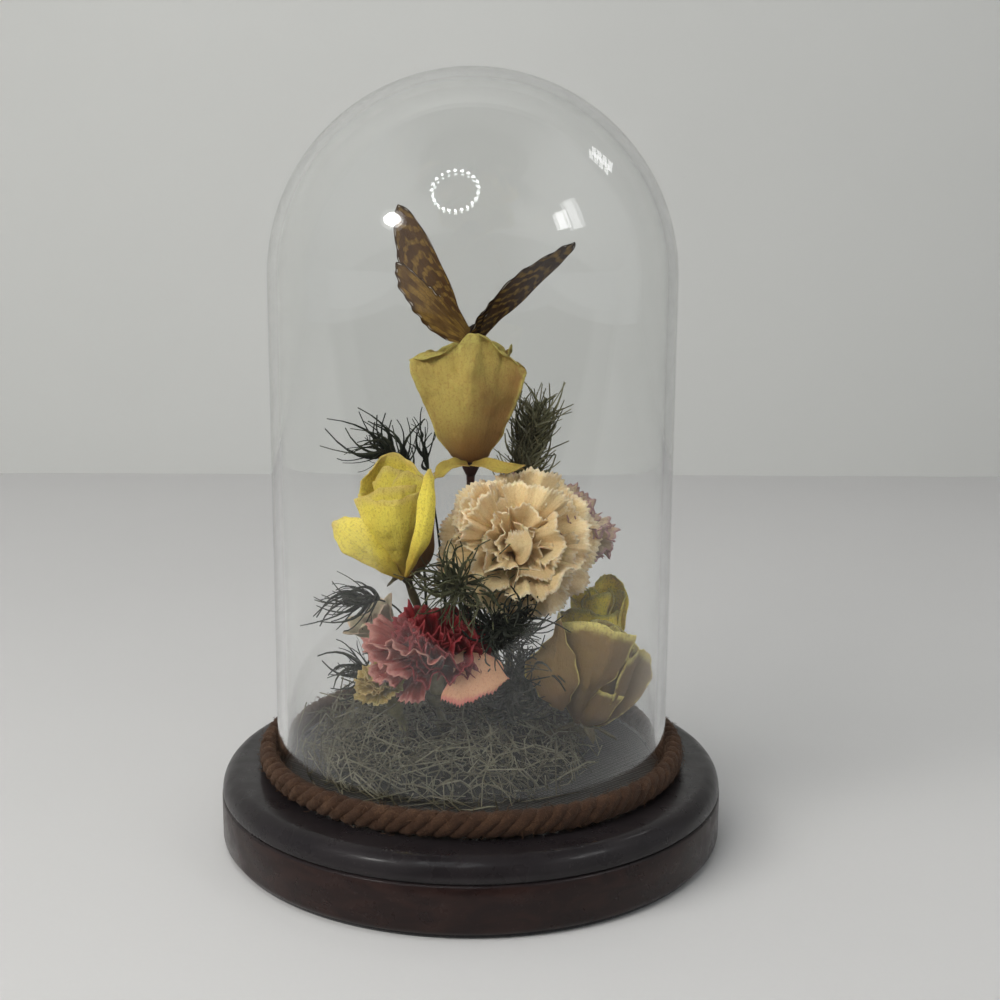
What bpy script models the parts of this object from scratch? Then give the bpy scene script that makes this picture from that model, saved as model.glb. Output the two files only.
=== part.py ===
"""Dried flowers and a mounted butterfly under a glass dome on a turned wooden base.

Run with: blender --background --python part.py
Metres, +Z up. The origin is the middle of the felt's underside, on the surface the base stands on.
The front of the arrangement faces -Y.
"""

import math

import bmesh
import bpy
from mathutils import Matrix, Vector

MM = 0.001

# Driving dimensions.
GAP = 0.3 * MM
DOME_OUTER_RADIUS = 57.15 * MM
DOME_HEIGHT = 203.0 * MM
GLASS_THICKNESS = 2.8 * MM
BASE_RADIUS = 73.4 * MM
BASE_TOP_RADIUS = 68.5 * MM
BASE_TOP_Z = 21.4 * MM
SIDE_WALL_TOP_Z = 14.7 * MM
GROOVE_DEPTH = 5.7 * MM
FELT_THICKNESS = 1.2 * MM
FELT_INSET = 1.6 * MM
DISC_THICKNESS = 1.3 * MM
TRIM_WIDTH = 5.0 * MM
TRIM_HEIGHT = 7.2 * MM
MOSS_RADIUS = 39.0 * MM
MOSS_CENTRE_HEIGHT = 13.0 * MM
MOSS_SHIFT_X = -6.0 * MM
BLOOM_STEM_RADIUS = 1.3 * MM
FERN_STEM_RADIUS = 0.55 * MM
WING_THICKNESS = 0.4 * MM

# Facets around each kind of round piece.
TURNED_STEPS = 48
BLOOM_SIDES = 12

GROOVE_FLOOR_Z = BASE_TOP_Z - GROOVE_DEPTH
DOME_FOOT_Z = GROOVE_FLOOR_Z + GAP
DOME_INNER_RADIUS = DOME_OUTER_RADIUS - GLASS_THICKNESS
CROWN_CENTRE_Z = DOME_FOOT_Z + DOME_HEIGHT - DOME_OUTER_RADIUS
DISC_TOP_Z = BASE_TOP_Z + GAP + DISC_THICKNESS
MOSS_FOOT_Z = DISC_TOP_Z + GAP

ROSE_YELLOW = (0.62, 0.52, 0.16)
SAGE_GREEN = (0.10, 0.12, 0.07)


def clear_scene():
    for old in list(bpy.data.objects):
        bpy.data.objects.remove(old, do_unlink=True)


def material(name, color, roughness, transmission=0.0):
    mat = bpy.data.materials.new(name)
    mat.use_nodes = True
    shader = mat.node_tree.nodes["Principled BSDF"]
    shader.inputs["Base Color"].default_value = (*color, 1.0)
    shader.inputs["Roughness"].default_value = roughness
    shader.inputs["Transmission Weight"].default_value = transmission
    return mat


def add_object(name, data, parts, mat):
    obj = bpy.data.objects.new(name, data)
    obj.data.materials.append(mat)
    parts.objects.link(obj)
    return obj


def turned(name, profile, parts, mat):
    """Solid of revolution from a closed (radius, height) profile run down its outer side."""
    mesh = bpy.data.meshes.new(name)
    verts = [(radius, 0.0, height) for radius, height in profile]
    edges = [(i, i + 1) for i in range(len(verts) - 1)]
    if min(profile[0][0], profile[-1][0]) > 0.0:
        edges.append((len(verts) - 1, 0))
    mesh.from_pydata(verts, edges, [])
    obj = add_object(name, mesh, parts, mat)
    screw = obj.modifiers.new("Screw", 'SCREW')
    screw.axis = 'Z'
    screw.steps = TURNED_STEPS
    screw.render_steps = TURNED_STEPS
    screw.use_merge_vertices = True
    screw.merge_threshold = 0.00001
    screw.use_smooth_shade = True
    return obj


def arc(centre_r, centre_z, radius_r, radius_z, start_deg, end_deg, count):
    """Points of an elliptical arc in the (radius, height) plane."""
    angles = [math.radians(start_deg + (end_deg - start_deg) * i / (count - 1)) for i in range(count)]
    return [(centre_r + radius_r * math.cos(a), centre_z + radius_z * math.sin(a)) for a in angles]


def make_base(parts):
    mat = material("dark_lacquered_wood", (0.018, 0.011, 0.009), 0.25)
    underside_z = FELT_THICKNESS + GAP
    groove_inner = DOME_INNER_RADIUS - GAP
    groove_outer = DOME_OUTER_RADIUS + GAP
    shoulder = arc(BASE_TOP_RADIUS, SIDE_WALL_TOP_Z + 0.9 * MM, BASE_RADIUS - BASE_TOP_RADIUS - 0.2 * MM,
                   BASE_TOP_Z - SIDE_WALL_TOP_Z - 0.9 * MM, 90, 0, 6)
    profile = [(0.0, BASE_TOP_Z), (groove_inner, BASE_TOP_Z), (groove_inner, GROOVE_FLOOR_Z),
               (groove_outer, GROOVE_FLOOR_Z), (groove_outer, BASE_TOP_Z)]
    profile += shoulder
    profile += [(BASE_RADIUS - 0.9 * MM, SIDE_WALL_TOP_Z + 0.4 * MM),
                (BASE_RADIUS, SIDE_WALL_TOP_Z - 0.3 * MM),
                (BASE_RADIUS, underside_z + 1.0 * MM),
                (BASE_RADIUS - 0.8 * MM, underside_z),
                (0.0, underside_z)]
    return turned("wooden_base", profile, parts, mat)


def make_felt(parts):
    mat = material("black_felt", (0.01, 0.01, 0.01), 0.95)
    radius = BASE_RADIUS - FELT_INSET
    profile = [(0.0, FELT_THICKNESS), (radius, FELT_THICKNESS), (radius, 0.0), (0.0, 0.0)]
    return turned("base_felt", profile, parts, mat)


def make_disc(parts):
    mat = material("grey_cloth", (0.05, 0.05, 0.05), 0.9)
    radius = DOME_INNER_RADIUS - 2.0 * GAP
    profile = [(0.0, DISC_TOP_Z), (radius, DISC_TOP_Z),
               (radius, BASE_TOP_Z + GAP), (0.0, BASE_TOP_Z + GAP)]
    return turned("fabric_disc", profile, parts, mat)


def make_dome(parts):
    mat = material("clear_glass", (1.0, 1.0, 1.0), 0.0, transmission=1.0)
    outer = arc(0.0, CROWN_CENTRE_Z, DOME_OUTER_RADIUS, DOME_OUTER_RADIUS, 90, 0, 9)
    inner = arc(0.0, CROWN_CENTRE_Z, DOME_INNER_RADIUS, DOME_INNER_RADIUS, 0, 90, 9)
    outer[0] = (0.0, CROWN_CENTRE_Z + DOME_OUTER_RADIUS)
    inner[-1] = (0.0, CROWN_CENTRE_Z + DOME_INNER_RADIUS)
    foot = [(DOME_OUTER_RADIUS, DOME_FOOT_Z), (DOME_INNER_RADIUS, DOME_FOOT_Z)]
    return turned("glass_dome", outer + foot + inner, parts, mat)


def make_trim(parts):
    mat = material("brown_cord", (0.07, 0.035, 0.022), 0.9)
    centre_r = DOME_OUTER_RADIUS + GAP + TRIM_WIDTH / 2.0
    centre_z = BASE_TOP_Z + GAP + TRIM_HEIGHT / 2.0
    ring = arc(centre_r, centre_z, TRIM_WIDTH / 2.0, TRIM_HEIGHT / 2.0, 90, -270, 11)[:-1]
    return turned("braided_trim", ring, parts, mat)


def moss_top(x, y):
    """Height of the mound's surface above a point of the disc."""
    reach = math.hypot(x - MOSS_SHIFT_X, y) / MOSS_RADIUS
    return MOSS_FOOT_Z + 2.0 * MM + (MOSS_CENTRE_HEIGHT - 2.0 * MM) * max(0.0, 1.0 - reach * reach)


def make_moss(parts):
    mat = material("dry_moss", (0.10, 0.10, 0.06), 0.95)
    profile = []
    steps = 6
    for i in range(steps + 1):
        radius = MOSS_RADIUS * i / steps
        profile.append((radius, moss_top(MOSS_SHIFT_X + radius, 0.0)))
    profile += [(MOSS_RADIUS, MOSS_FOOT_Z), (0.0, MOSS_FOOT_Z)]
    moss = turned("moss_bed", profile, parts, mat)
    moss.modifiers["Screw"].steps = 32
    moss.modifiers["Screw"].render_steps = 32
    moss.location.x = MOSS_SHIFT_X
    return moss


def bezier(points, count):
    """Points of the Bezier curve with these control points."""
    result = []
    for i in range(count):
        t = i / (count - 1)
        layer = [Vector(p) for p in points]
        while len(layer) > 1:
            layer = [a.lerp(b, t) for a, b in zip(layer, layer[1:])]
        result.append(layer[0])
    return result


def ring_points(centre, axis, radius, lobes, depth):
    """A ring of points across an axis, with soft lobes for the folds between petals."""
    frame = axis.to_track_quat('Z', 'Y')
    points = []
    for i in range(BLOOM_SIDES):
        angle = 2.0 * math.pi * i / BLOOM_SIDES
        swell = radius * (1.0 + depth * math.cos(lobes * angle))
        points.append(centre + frame @ Vector((swell * math.cos(angle), swell * math.sin(angle), 0.0)))
    return points


def loft(name, rings, parts, mat):
    """Closed solid through rings with the same number of points."""
    bm = bmesh.new()
    layers = [[bm.verts.new(p) for p in ring] for ring in rings]
    for low, high in zip(layers, layers[1:]):
        for i in range(len(low)):
            j = (i + 1) % len(low)
            bm.faces.new((low[i], low[j], high[j], high[i]))
    bm.faces.new(reversed(layers[0]))
    bm.faces.new(layers[-1])
    mesh = bpy.data.meshes.new(name)
    bm.to_mesh(mesh)
    bm.free()
    mesh.shade_smooth()
    return add_object(name, mesh, parts, mat)


def flower(name, spec, parts, mat):
    """A bloom grown on its stem, from the moss up: one natural piece, one closed solid."""
    neck = Vector(spec["neck"]) * MM
    facing = Vector(spec["facing"]).normalized()
    foot_x, foot_y = (c * MM for c in spec["foot"])
    foot = Vector((foot_x, foot_y, moss_top(foot_x, foot_y) + GAP + BLOOM_STEM_RADIUS * 0.5))
    rise = (neck - foot).length
    stem = bezier([foot, foot + Vector((0, 0, rise * 0.45)), neck - facing * rise * 0.18, neck], 7)
    rings = []
    for i, point in enumerate(stem[:-1]):
        ahead = stem[i + 1] - stem[max(i - 1, 0)]
        if i == 0:
            ahead = Vector((0, 0, 1))
        rings.append(ring_points(point, ahead.normalized(), BLOOM_STEM_RADIUS, 0, 0.0))
    for along, radius in spec["stations"]:
        depth = spec["depth"] if radius > 6.0 else 0.0
        centre = neck + facing * along * MM
        rings.append(ring_points(centre, facing, radius * MM, spec["lobes"], depth))
    return loft(name, rings, parts, mat)


# Bloom stations are (distance along the bloom's axis, radius) in millimetres, neck first.
ROSE_CUP = [(0, 1.6), (1.5, 4.2), (4, 7.6), (9, 10.6), (16, 12.2), (24, 12.9), (29, 13.4),
            (31.5, 12.4), (32.4, 10.0), (31.0, 6.0), (29.5, 2.0)]
CARNATION_HEAD = [(0, 1.6), (2, 3.4), (10, 4.2), (13.5, 6.5), (17, 13.0), (20, 16.6), (24, 17.2),
                  (28, 14.0), (31, 8.5), (32, 3.0)]


def scaled(stations, along, across):
    return [(a * along, r * across) for a, r in stations]


FLOWERS = {
    "top_rose": {"neck": (-0.6, 0.5, 108.5), "facing": (0.0, 0.0, 1.0), "foot": (-1.5, 4.5),
                 "stations": ROSE_CUP, "lobes": 5, "depth": 0.04, "color": (0.46, 0.37, 0.13)},
    "left_rose": {"neck": (-18.5, -11.5, 80.0), "facing": (-0.12, 0.08, 0.98), "foot": (-9.0, 0.0),
                  "stations": scaled(ROSE_CUP, 0.95, 0.83), "lobes": 5, "depth": 0.05,
                  "color": ROSE_YELLOW},
    "right_upper_rose": {"neck": (37.0, 11.0, 50.0), "facing": (0.12, -0.02, 0.99), "foot": (19.0, 8.0),
                         "stations": scaled(ROSE_CUP, 0.75, 0.62), "lobes": 5, "depth": 0.05,
                         "color": (0.50, 0.46, 0.14)},
    "right_lower_rose": {"neck": (32.5, -11.0, 34.0), "facing": (0.2, 0.06, 0.97), "foot": (21.5, -9.5),
                         "stations": scaled(ROSE_CUP, 0.9, 0.76), "lobes": 5, "depth": 0.05,
                         "color": (0.44, 0.33, 0.15)},
    "cream_carnation": {"neck": (10.8, 0.2, 83.6), "facing": (0.1, -0.92, 0.38), "foot": (6.0, 1.0),
                        "stations": CARNATION_HEAD, "lobes": 8, "depth": 0.05,
                        "color": (0.72, 0.56, 0.38)},
    "mauve_carnation": {"neck": (19.0, 1.0, 79.0), "facing": (0.55, 0.12, 0.78), "foot": (10.5, 6.5),
                        "stations": scaled(CARNATION_HEAD, 0.72, 0.72), "lobes": 8, "depth": 0.05,
                        "color": (0.52, 0.38, 0.36)},
    "red_carnation": {"neck": (-10.0, -16.5, 45.0), "facing": (0.0, -0.25, 0.97), "foot": (-8.5, -12.5),
                      "stations": scaled(CARNATION_HEAD, 0.88, 0.8), "lobes": 8, "depth": 0.05,
                      "color": (0.45, 0.06, 0.07)},
    "small_cream_flower": {"neck": (-22.0, -1.5, 54.5), "facing": (-0.55, -0.15, 0.82),
                           "foot": (-16.0, 0.5), "stations": scaled(ROSE_CUP, 0.45, 0.5), "lobes": 5,
                           "depth": 0.05, "color": (0.60, 0.45, 0.28)},
    "small_yellow_flower": {"neck": (-21.5, -18.0, 42.0), "facing": (-0.35, -0.35, 0.86),
                            "foot": (-19.5, -14.5), "stations": scaled(CARNATION_HEAD, 0.32, 0.33),
                            "lobes": 6, "depth": 0.05, "color": (0.55, 0.38, 0.10)},
}


def make_flowers(parts):
    for name, spec in FLOWERS.items():
        mat = material(name + "_petals", spec["color"], 0.6)
        flower(name, spec, parts, mat)


# Fern stems: where the foot stands on the moss, two bends and the tip, in millimetres.
FERNS = {
    "fern_top_left": ((-13.0, 9.0), (-14.0, 12.0, 80.0), (-17.0, 10.0, 112.0), (-33.0, 4.0, 113.5)),
    "fern_behind_rose": ((-7.5, 8.5), (-7.0, 12.0, 75.0), (-12.0, 9.0, 100.0), (-15.0, 7.0, 116.0)),
    "fern_top_right": ((4.0, 11.0), (6.0, 16.0, 70.0), (16.0, 13.0, 98.0), (18.0, 11.0, 121.0)),
    "fern_centre": ((-3.0, -2.5), (-1.0, -3.0, 62.0), (-2.0, -8.0, 76.0), (-4.5, -24.0, 78.5)),
    "fern_mid_left": ((-14.5, 5.0), (-17.0, 7.0, 62.0), (-24.0, 6.0, 70.0), (-40.0, -1.0, 70.5)),
    "fern_low_left": ((-22.0, 3.0), (-23.0, 3.0, 44.0), (-27.0, 2.0, 48.0), (-39.0, -4.0, 51.0)),
    "fern_low_centre": ((5.0, -7.0), (5.0, -10.0, 55.0), (6.0, -13.0, 62.0), (9.5, -22.0, 65.0)),
    "fern_low_right": ((8.0, -12.0), (9.0, -15.0, 40.0), (11.0, -18.0, 46.0), (18.0, -25.0, 48.0)),
}


def make_ferns(parts):
    mat = material("fern_green", SAGE_GREEN, 0.7)
    for name, (foot, low, high, tip) in FERNS.items():
        foot_x, foot_y = (c * MM for c in foot)
        start = Vector((foot_x, foot_y, moss_top(foot_x, foot_y) + GAP + FERN_STEM_RADIUS * 0.6))
        route = bezier([start, Vector(low) * MM, Vector(high) * MM, Vector(tip) * MM], 9)
        curve = bpy.data.curves.new(name, 'CURVE')
        curve.dimensions = '3D'
        curve.bevel_depth = FERN_STEM_RADIUS
        curve.bevel_resolution = 1
        curve.use_fill_caps = True
        spline = curve.splines.new('POLY')
        spline.points.add(len(route) - 1)
        for point, place in zip(spline.points, route):
            point.co = (*place, 1.0)
        add_object(name, curve, parts, mat)


# Butterfly, in millimetres. A wing's outline is (out from the root, forward) for one side's pair.
THORAX = (0.2, 2.5, 146.8)
BODY_AXIS = (0.38, 0.85, 0.36)
WINGS = {
    "left": {"root": (-0.6, 1.0, 147.0), "span": (-0.477, 0.073, 0.876), "forward": (0.45, 0.89, 0.0),
             "length": 1.0, "chord": 1.0},
    "right": {"root": (1.6, 1.5, 146.2), "span": (0.692, -0.26, 0.673), "forward": (0.33, 0.94, 0.0),
              "length": 0.93, "chord": 0.78},
}
WING_OUTLINE = [(-1.5, -2.0), (0.0, 1.2), (8.4, 2.4), (15.7, 5.4), (24.5, 7.6), (32.0, 6.9), (38.6, 3.0),
                (40.8, -0.9), (38.4, -6.2), (34.6, -11.2), (26.3, -14.0), (24.7, -18.0), (22.8, -20.9),
                (19.2, -22.7), (15.0, -22.4), (10.4, -21.8), (5.4, -19.2), (-0.8, -11.0)]


def wing_matrix(wing):
    out = Vector(wing["span"]).normalized()
    forward = Vector(wing["forward"])
    forward = (forward - forward.dot(out) * out).normalized()
    turn = Matrix((out, forward, out.cross(forward))).transposed().to_4x4()
    return Matrix.Translation(Vector(wing["root"]) * MM) @ turn


def evaluated_copy(obj, name):
    """Mesh object with an object's modifiers or curve settings applied, in place of it."""
    bpy.context.view_layer.update()
    source = obj.evaluated_get(bpy.context.evaluated_depsgraph_get())
    mesh = bpy.data.meshes.new_from_object(source)
    mesh.transform(obj.matrix_world)
    bm = bmesh.new()
    bm.from_mesh(mesh)
    bmesh.ops.remove_doubles(bm, verts=bm.verts, dist=0.000001)
    bm.to_mesh(mesh)
    bm.free()
    mesh.name = name
    return mesh


def make_wing(name, wing, parts, mat):
    curve = bpy.data.curves.new(name, 'CURVE')
    curve.dimensions = '2D'
    curve.fill_mode = 'BOTH'
    curve.extrude = WING_THICKNESS / 2.0
    spline = curve.splines.new('POLY')
    spline.points.add(len(WING_OUTLINE) - 1)
    for point, (out, forward) in zip(spline.points, WING_OUTLINE):
        point.co = (out * wing["length"] * MM, forward * wing["chord"] * MM, 0.0, 1.0)
    spline.use_cyclic_u = True
    drawn = add_object(name + "_outline", curve, parts, mat)
    drawn.matrix_world = wing_matrix(wing)
    mesh = evaluated_copy(drawn, name)
    bpy.data.objects.remove(drawn, do_unlink=True)
    return mesh


def make_butterfly(parts, cutters):
    mat = material("butterfly_brown", (0.16, 0.08, 0.03), 0.7)
    body_profile = [(0.0, 7.5), (1.1, 7.0), (1.3, 6.0), (1.0, 4.9), (1.9, 3.6), (2.2, 1.0), (1.7, -1.5),
                    (1.9, -4.0), (1.5, -7.0), (0.7, -9.6), (0.0, -10.2)]
    drawn = turned("body_profile", [(r * MM, z * MM) for r, z in body_profile], parts, mat)
    drawn.modifiers["Screw"].steps = 12
    drawn.modifiers["Screw"].render_steps = 12
    turn = Vector(BODY_AXIS).to_track_quat('Z', 'Y').to_matrix().to_4x4()
    drawn.matrix_world = Matrix.Translation(Vector(THORAX) * MM) @ turn
    body = evaluated_copy(drawn, "butterfly")
    bpy.data.objects.remove(drawn, do_unlink=True)
    butterfly = add_object("butterfly", body, parts, mat)
    for side, spec in WINGS.items():
        wing = add_object("wing_" + side, make_wing("wing_" + side, spec, parts, mat), cutters, mat)
        wing.hide_render = True
        wing.display_type = 'WIRE'
        join = butterfly.modifiers.new("Join " + side, 'BOOLEAN')
        join.operation = 'UNION'
        join.object = wing
    return butterfly


def main():
    clear_scene()
    parts = bpy.data.collections.new("butterfly_dome")
    cutters = bpy.data.collections.new("butterfly_dome_cutters")
    bpy.context.scene.collection.children.link(parts)
    bpy.context.scene.collection.children.link(cutters)
    make_base(parts)
    make_felt(parts)
    make_disc(parts)
    make_dome(parts)
    make_trim(parts)
    make_moss(parts)
    make_flowers(parts)
    make_ferns(parts)
    make_butterfly(parts, cutters)


main()
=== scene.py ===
"""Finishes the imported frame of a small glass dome: dried roses and carnations, fern sprigs, curled moss
and a mounted butterfly, on a lacquered wooden base with a twisted cord round the foot of the glass.

Sizes are in metres, except that names ending in _MM and the tables of petals and wings hold millimetres.
Angles in those tables are in degrees. The front faces -Y.
"""
import math

import bmesh
import bpy
import numpy as np
from mathutils import Matrix, Vector, noise


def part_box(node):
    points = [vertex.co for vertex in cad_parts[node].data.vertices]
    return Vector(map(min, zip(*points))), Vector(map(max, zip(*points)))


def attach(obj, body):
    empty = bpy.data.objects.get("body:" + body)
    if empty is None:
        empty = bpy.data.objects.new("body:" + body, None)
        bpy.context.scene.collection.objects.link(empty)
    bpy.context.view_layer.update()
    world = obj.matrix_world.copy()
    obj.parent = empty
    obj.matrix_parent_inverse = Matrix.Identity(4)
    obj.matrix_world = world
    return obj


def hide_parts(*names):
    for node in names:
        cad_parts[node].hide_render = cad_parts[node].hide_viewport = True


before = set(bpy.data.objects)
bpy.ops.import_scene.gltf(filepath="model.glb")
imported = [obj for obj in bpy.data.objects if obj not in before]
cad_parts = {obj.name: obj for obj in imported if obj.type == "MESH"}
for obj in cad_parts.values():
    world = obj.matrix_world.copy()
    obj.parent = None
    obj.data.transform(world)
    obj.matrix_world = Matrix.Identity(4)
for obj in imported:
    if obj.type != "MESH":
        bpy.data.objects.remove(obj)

bl_info = {
    "name": "Butterfly Dome Finisher",
    "version": (1, 0, 0),
    "blender": (4, 5, 0),
    "location": "3D View > Sidebar > Dome",
    "description": "Dried flowers, butterfly, ferns, moss, glass and base around the packed frame",
    "category": "Object",
}

MM = 0.001
TURN = 2 * math.pi
BODY = "root"
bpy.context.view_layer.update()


def node_box(node):
    low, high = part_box(node)
    return Vector(low), Vector(high)


GLASS_LOW, GLASS_HIGH = node_box("glass_dome")
DISC_LOW, DISC_HIGH = node_box("fabric_disc")
WOOD_LOW, WOOD_HIGH = node_box("wooden_base")
FELT_LOW, FELT_HIGH = node_box("base_felt")
TRIM_LOW, TRIM_HIGH = node_box("braided_trim")
MOSS_LOW, MOSS_HIGH = node_box("moss_bed")
GLASS_RADIUS = (GLASS_HIGH.x - GLASS_LOW.x) / 2

# Where each flower stands: the bloom's neck, the way it faces and the foot of its stem on the moss.
FLOWER_PLACES_MM = {
    "top_rose": ((-0.6, 0.5, 108.5), (0, 0, 1), (-1.5, 4.5)),
    "left_rose": ((-18.5, -11.5, 80), (-0.12, 0.08, 0.98), (-9, 0)),
    "right_upper_rose": ((36.5, 9, 47), (0.06, -0.02, 0.99), (19, 8)),
    "right_lower_rose": ((32.5, -11, 34), (0.2, 0.06, 0.97), (21.5, -9.5)),
    "cream_carnation": ((10.8, 0.2, 83.6), (0.1, -0.92, 0.38), (6, 1)),
    "mauve_carnation": ((18.5, 4, 80.5), (0.50, -0.15, 0.85), (10.5, 6.5)),
    "red_carnation": ((-10, -16.5, 45), (0, -0.25, 0.97), (-8.5, -12.5)),
    "small_cream_flower": ((-22, -1.5, 54.5), (-0.55, -0.15, 0.82), (-16, 0.5)),
    "small_yellow_flower": ((-21.5, -18, 42), (-0.35, -0.35, 0.86), (-19.5, -14.5)),
}
FLOWER_STEM_RADIUS = 1.3 * MM

# Fern stems: foot on the moss, two bends and the tip.
FERN_ROUTES_MM = {
    "fern_top_left": ((-13, 9), (-14, 12, 80), (-15, 10, 110), (-26.5, 5, 112.5)),
    "fern_behind_rose": ((-7.5, 8.5), (-7, 12, 75), (-12, 9, 100), (-15, 7, 116)),
    "fern_top_right": ((4, 11), (6, 16, 70), (16, 13, 98), (18, 11, 121)),
    "fern_centre": ((-3, -2.5), (-1, -3, 62), (-2, -10, 78), (-4.2, -26, 80)),
    "fern_mid_left": ((-14.5, 5), (-17, 7, 62), (-21, 5, 69), (-32, -4, 70.5)),
    "fern_low_left": ((-22, 3), (-23, 3, 44), (-26, 2, 48), (-31.5, -5, 49.5)),
    "fern_low_centre": ((5, -7), (5, -10, 56), (6, -15, 67), (9.5, -26, 69)),
    "fern_low_right": ((9, -12), (10, -13, 40), (12, -16, 50), (14.5, -21, 53)),
}

MOSS_CENTRE_X = (MOSS_LOW.x + MOSS_HIGH.x) / 2
MOSS_RADIUS = (MOSS_HIGH.x - MOSS_LOW.x) / 2
MOSS_EDGE = 2 * MM
ROOM_RADIUS = GLASS_HIGH.x - 4.6 * MM


def moss_height(x, y):
    """Height of the moss mound's surface above a point of the disc."""
    reach = math.hypot(x - MOSS_CENTRE_X, y) / MOSS_RADIUS
    rise = MOSS_HIGH.z - MOSS_LOW.z - MOSS_EDGE
    return MOSS_LOW.z + MOSS_EDGE + rise * max(0, 1 - reach * reach)


def hold_inside(mesh):
    """Bends anything that would reach through the glass back against its inner side."""
    for vert in mesh.vertices:
        reach = math.hypot(vert.co.x, vert.co.y)
        if reach > ROOM_RADIUS:
            vert.co.x *= ROOM_RADIUS / reach
            vert.co.y *= ROOM_RADIUS / reach


def bezier_points(controls, count):
    """Points along the Bezier curve with these control points."""
    points = []
    for i in range(count):
        layer = [Vector(c) for c in controls]
        t = i / (count - 1)
        while len(layer) > 1:
            layer = [a.lerp(b, t) for a, b in zip(layer, layer[1:])]
        points.append(layer[0])
    return points


def ring_points(radius, count, height=0.0):
    """Points evenly round the dome's axis."""
    angles = (TURN * k / count for k in range(count))
    return [(radius * math.cos(a), radius * math.sin(a), height) for a in angles]


# ---------------------------------------------------------------------------------------------------
# Meshes. A sheet is (points, map, faces); a draft gathers sheets and becomes one object.
# ---------------------------------------------------------------------------------------------------

class Draft:
    """Gathers closed sheets and tubes, with a UV map, a tone and a material number for each."""

    def __init__(self, move=None, crumple=1):
        self.move = move or Matrix.Identity(4)
        self.crumple = crumple
        self.verts, self.uvs, self.tones, self.faces, self.slots = [], [], [], [], []
        self.count = 0

    def add(self, sheet, slot=0, tone=0.5):
        """tone is one number for the sheet, or one for each of its points."""
        verts, uvs, faces = sheet
        verts = np.asarray(verts, dtype=float).reshape(-1, 3)
        self.verts.append(verts)
        self.uvs.append(np.asarray(uvs, dtype=float).reshape(-1, 2))
        self.tones.append(np.ones(len(verts)) * tone)
        self.faces.extend([tuple(int(i) + self.count for i in face) for face in faces])
        self.slots.extend([slot] * len(faces))
        self.count += len(verts)

    def finish(self, name, materials):
        """One smooth mesh object, moved into place in its vertices."""
        mesh = new_mesh(name, np.vstack(self.verts).tolist(), self.faces)
        for mat in materials:
            mesh.materials.append(mat)
        uvs = np.vstack(self.uvs)
        layer = mesh.uv_layers.new(name="petal_map")
        corners = np.empty(len(mesh.loops), dtype=np.int32)
        mesh.loops.foreach_get("vertex_index", corners)
        layer.data.foreach_set("uv", uvs[corners].ravel())
        tone = mesh.attributes.new("tone", 'FLOAT', 'POINT')
        tone.data.foreach_set("value", np.concatenate(self.tones))
        mesh.polygons.foreach_set("material_index", self.slots)
        mesh.transform(self.move)
        mesh.shade_smooth()
        mesh.validate()
        mesh.update()
        return place_mesh(name, mesh)


def new_mesh(name, verts, faces, edges=()):
    mesh = bpy.data.meshes.new(name)
    mesh.from_pydata(verts, edges, faces)
    return mesh


def place_mesh(name, mesh, *materials):
    for mat in materials:
        mesh.materials.append(mat)
    obj = bpy.data.objects.new(name, mesh)
    bpy.context.scene.collection.objects.link(obj)
    return obj


def finish_piece(obj, node):
    """The piece stands for its frame node: that node's part is hidden and the piece joins the body."""
    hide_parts(node)
    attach(obj, BODY)


def band_faces(rows, steps):
    """Faces between closed rings of points that follow one another."""
    faces = []
    for low in range(0, (rows - 1) * steps, steps):
        for k in range(steps):
            n = (k + 1) % steps
            faces.append((low + k, low + n, low + steps + n, low + steps + k))
    return faces


def closed_sheet(grid, thickness):
    """A thin closed solid on both sides of a grid of points."""
    grid = np.asarray(grid, dtype=float)
    rows, cols, _ = grid.shape
    normal = np.cross(np.gradient(grid, axis=1), np.gradient(grid, axis=0))
    length = np.linalg.norm(normal, axis=2, keepdims=True)
    normal = normal / np.maximum(length, 1e-12)
    front = grid + normal * thickness / 2
    back = grid - normal * thickness / 2
    verts = np.concatenate([front.reshape(-1, 3), back.reshape(-1, 3)])
    v, u = np.meshgrid(np.linspace(0, 1, rows), np.linspace(0, 1, cols), indexing="ij")
    uv = np.stack([u, v], axis=-1).reshape(-1, 2)
    size = rows * cols
    corners = [i * cols + j for i in range(rows - 1) for j in range(cols - 1)]
    faces = [(a, a + 1, a + cols + 1, a + cols) for a in corners]
    faces += [tuple(i + size for i in face[::-1]) for face in faces]
    rim = ([(i, 0) for i in range(rows)] + [(rows - 1, j) for j in range(1, cols)]
           + [(i, cols - 1) for i in range(rows - 2, -1, -1)] + [(0, j) for j in range(cols - 2, 0, -1)])
    for (i, j), (k, m) in zip(rim, rim[1:] + rim[:1]):
        a, b = i * cols + j, k * cols + m
        faces.append((a, b, b + size, a + size))
    return verts, np.concatenate([uv, uv]), faces


def tube(points, radii, sides=8):
    """A closed round tube along points, with rounded ends."""
    points = [Vector(p) for p in points]
    verts, uvs = [], []
    side_axis = Vector((1, 0, 0))
    rows = len(points)
    for i, point in enumerate(points):
        ahead = (points[min(i + 1, rows - 1)] - points[max(i - 1, 0)]).normalized()
        side_axis = (side_axis - ahead * side_axis.dot(ahead))
        if side_axis.length < 1e-6:
            side_axis = ahead.orthogonal()
        side_axis.normalize()
        other = ahead.cross(side_axis)
        for k in range(sides):
            angle = TURN * k / sides
            verts.append(point + (side_axis * math.cos(angle) + other * math.sin(angle)) * radii[i])
            uvs.append((k / sides, i / (rows - 1)))
    return close_ends(verts, uvs, rows, sides, points[0], points[-1])


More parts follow.
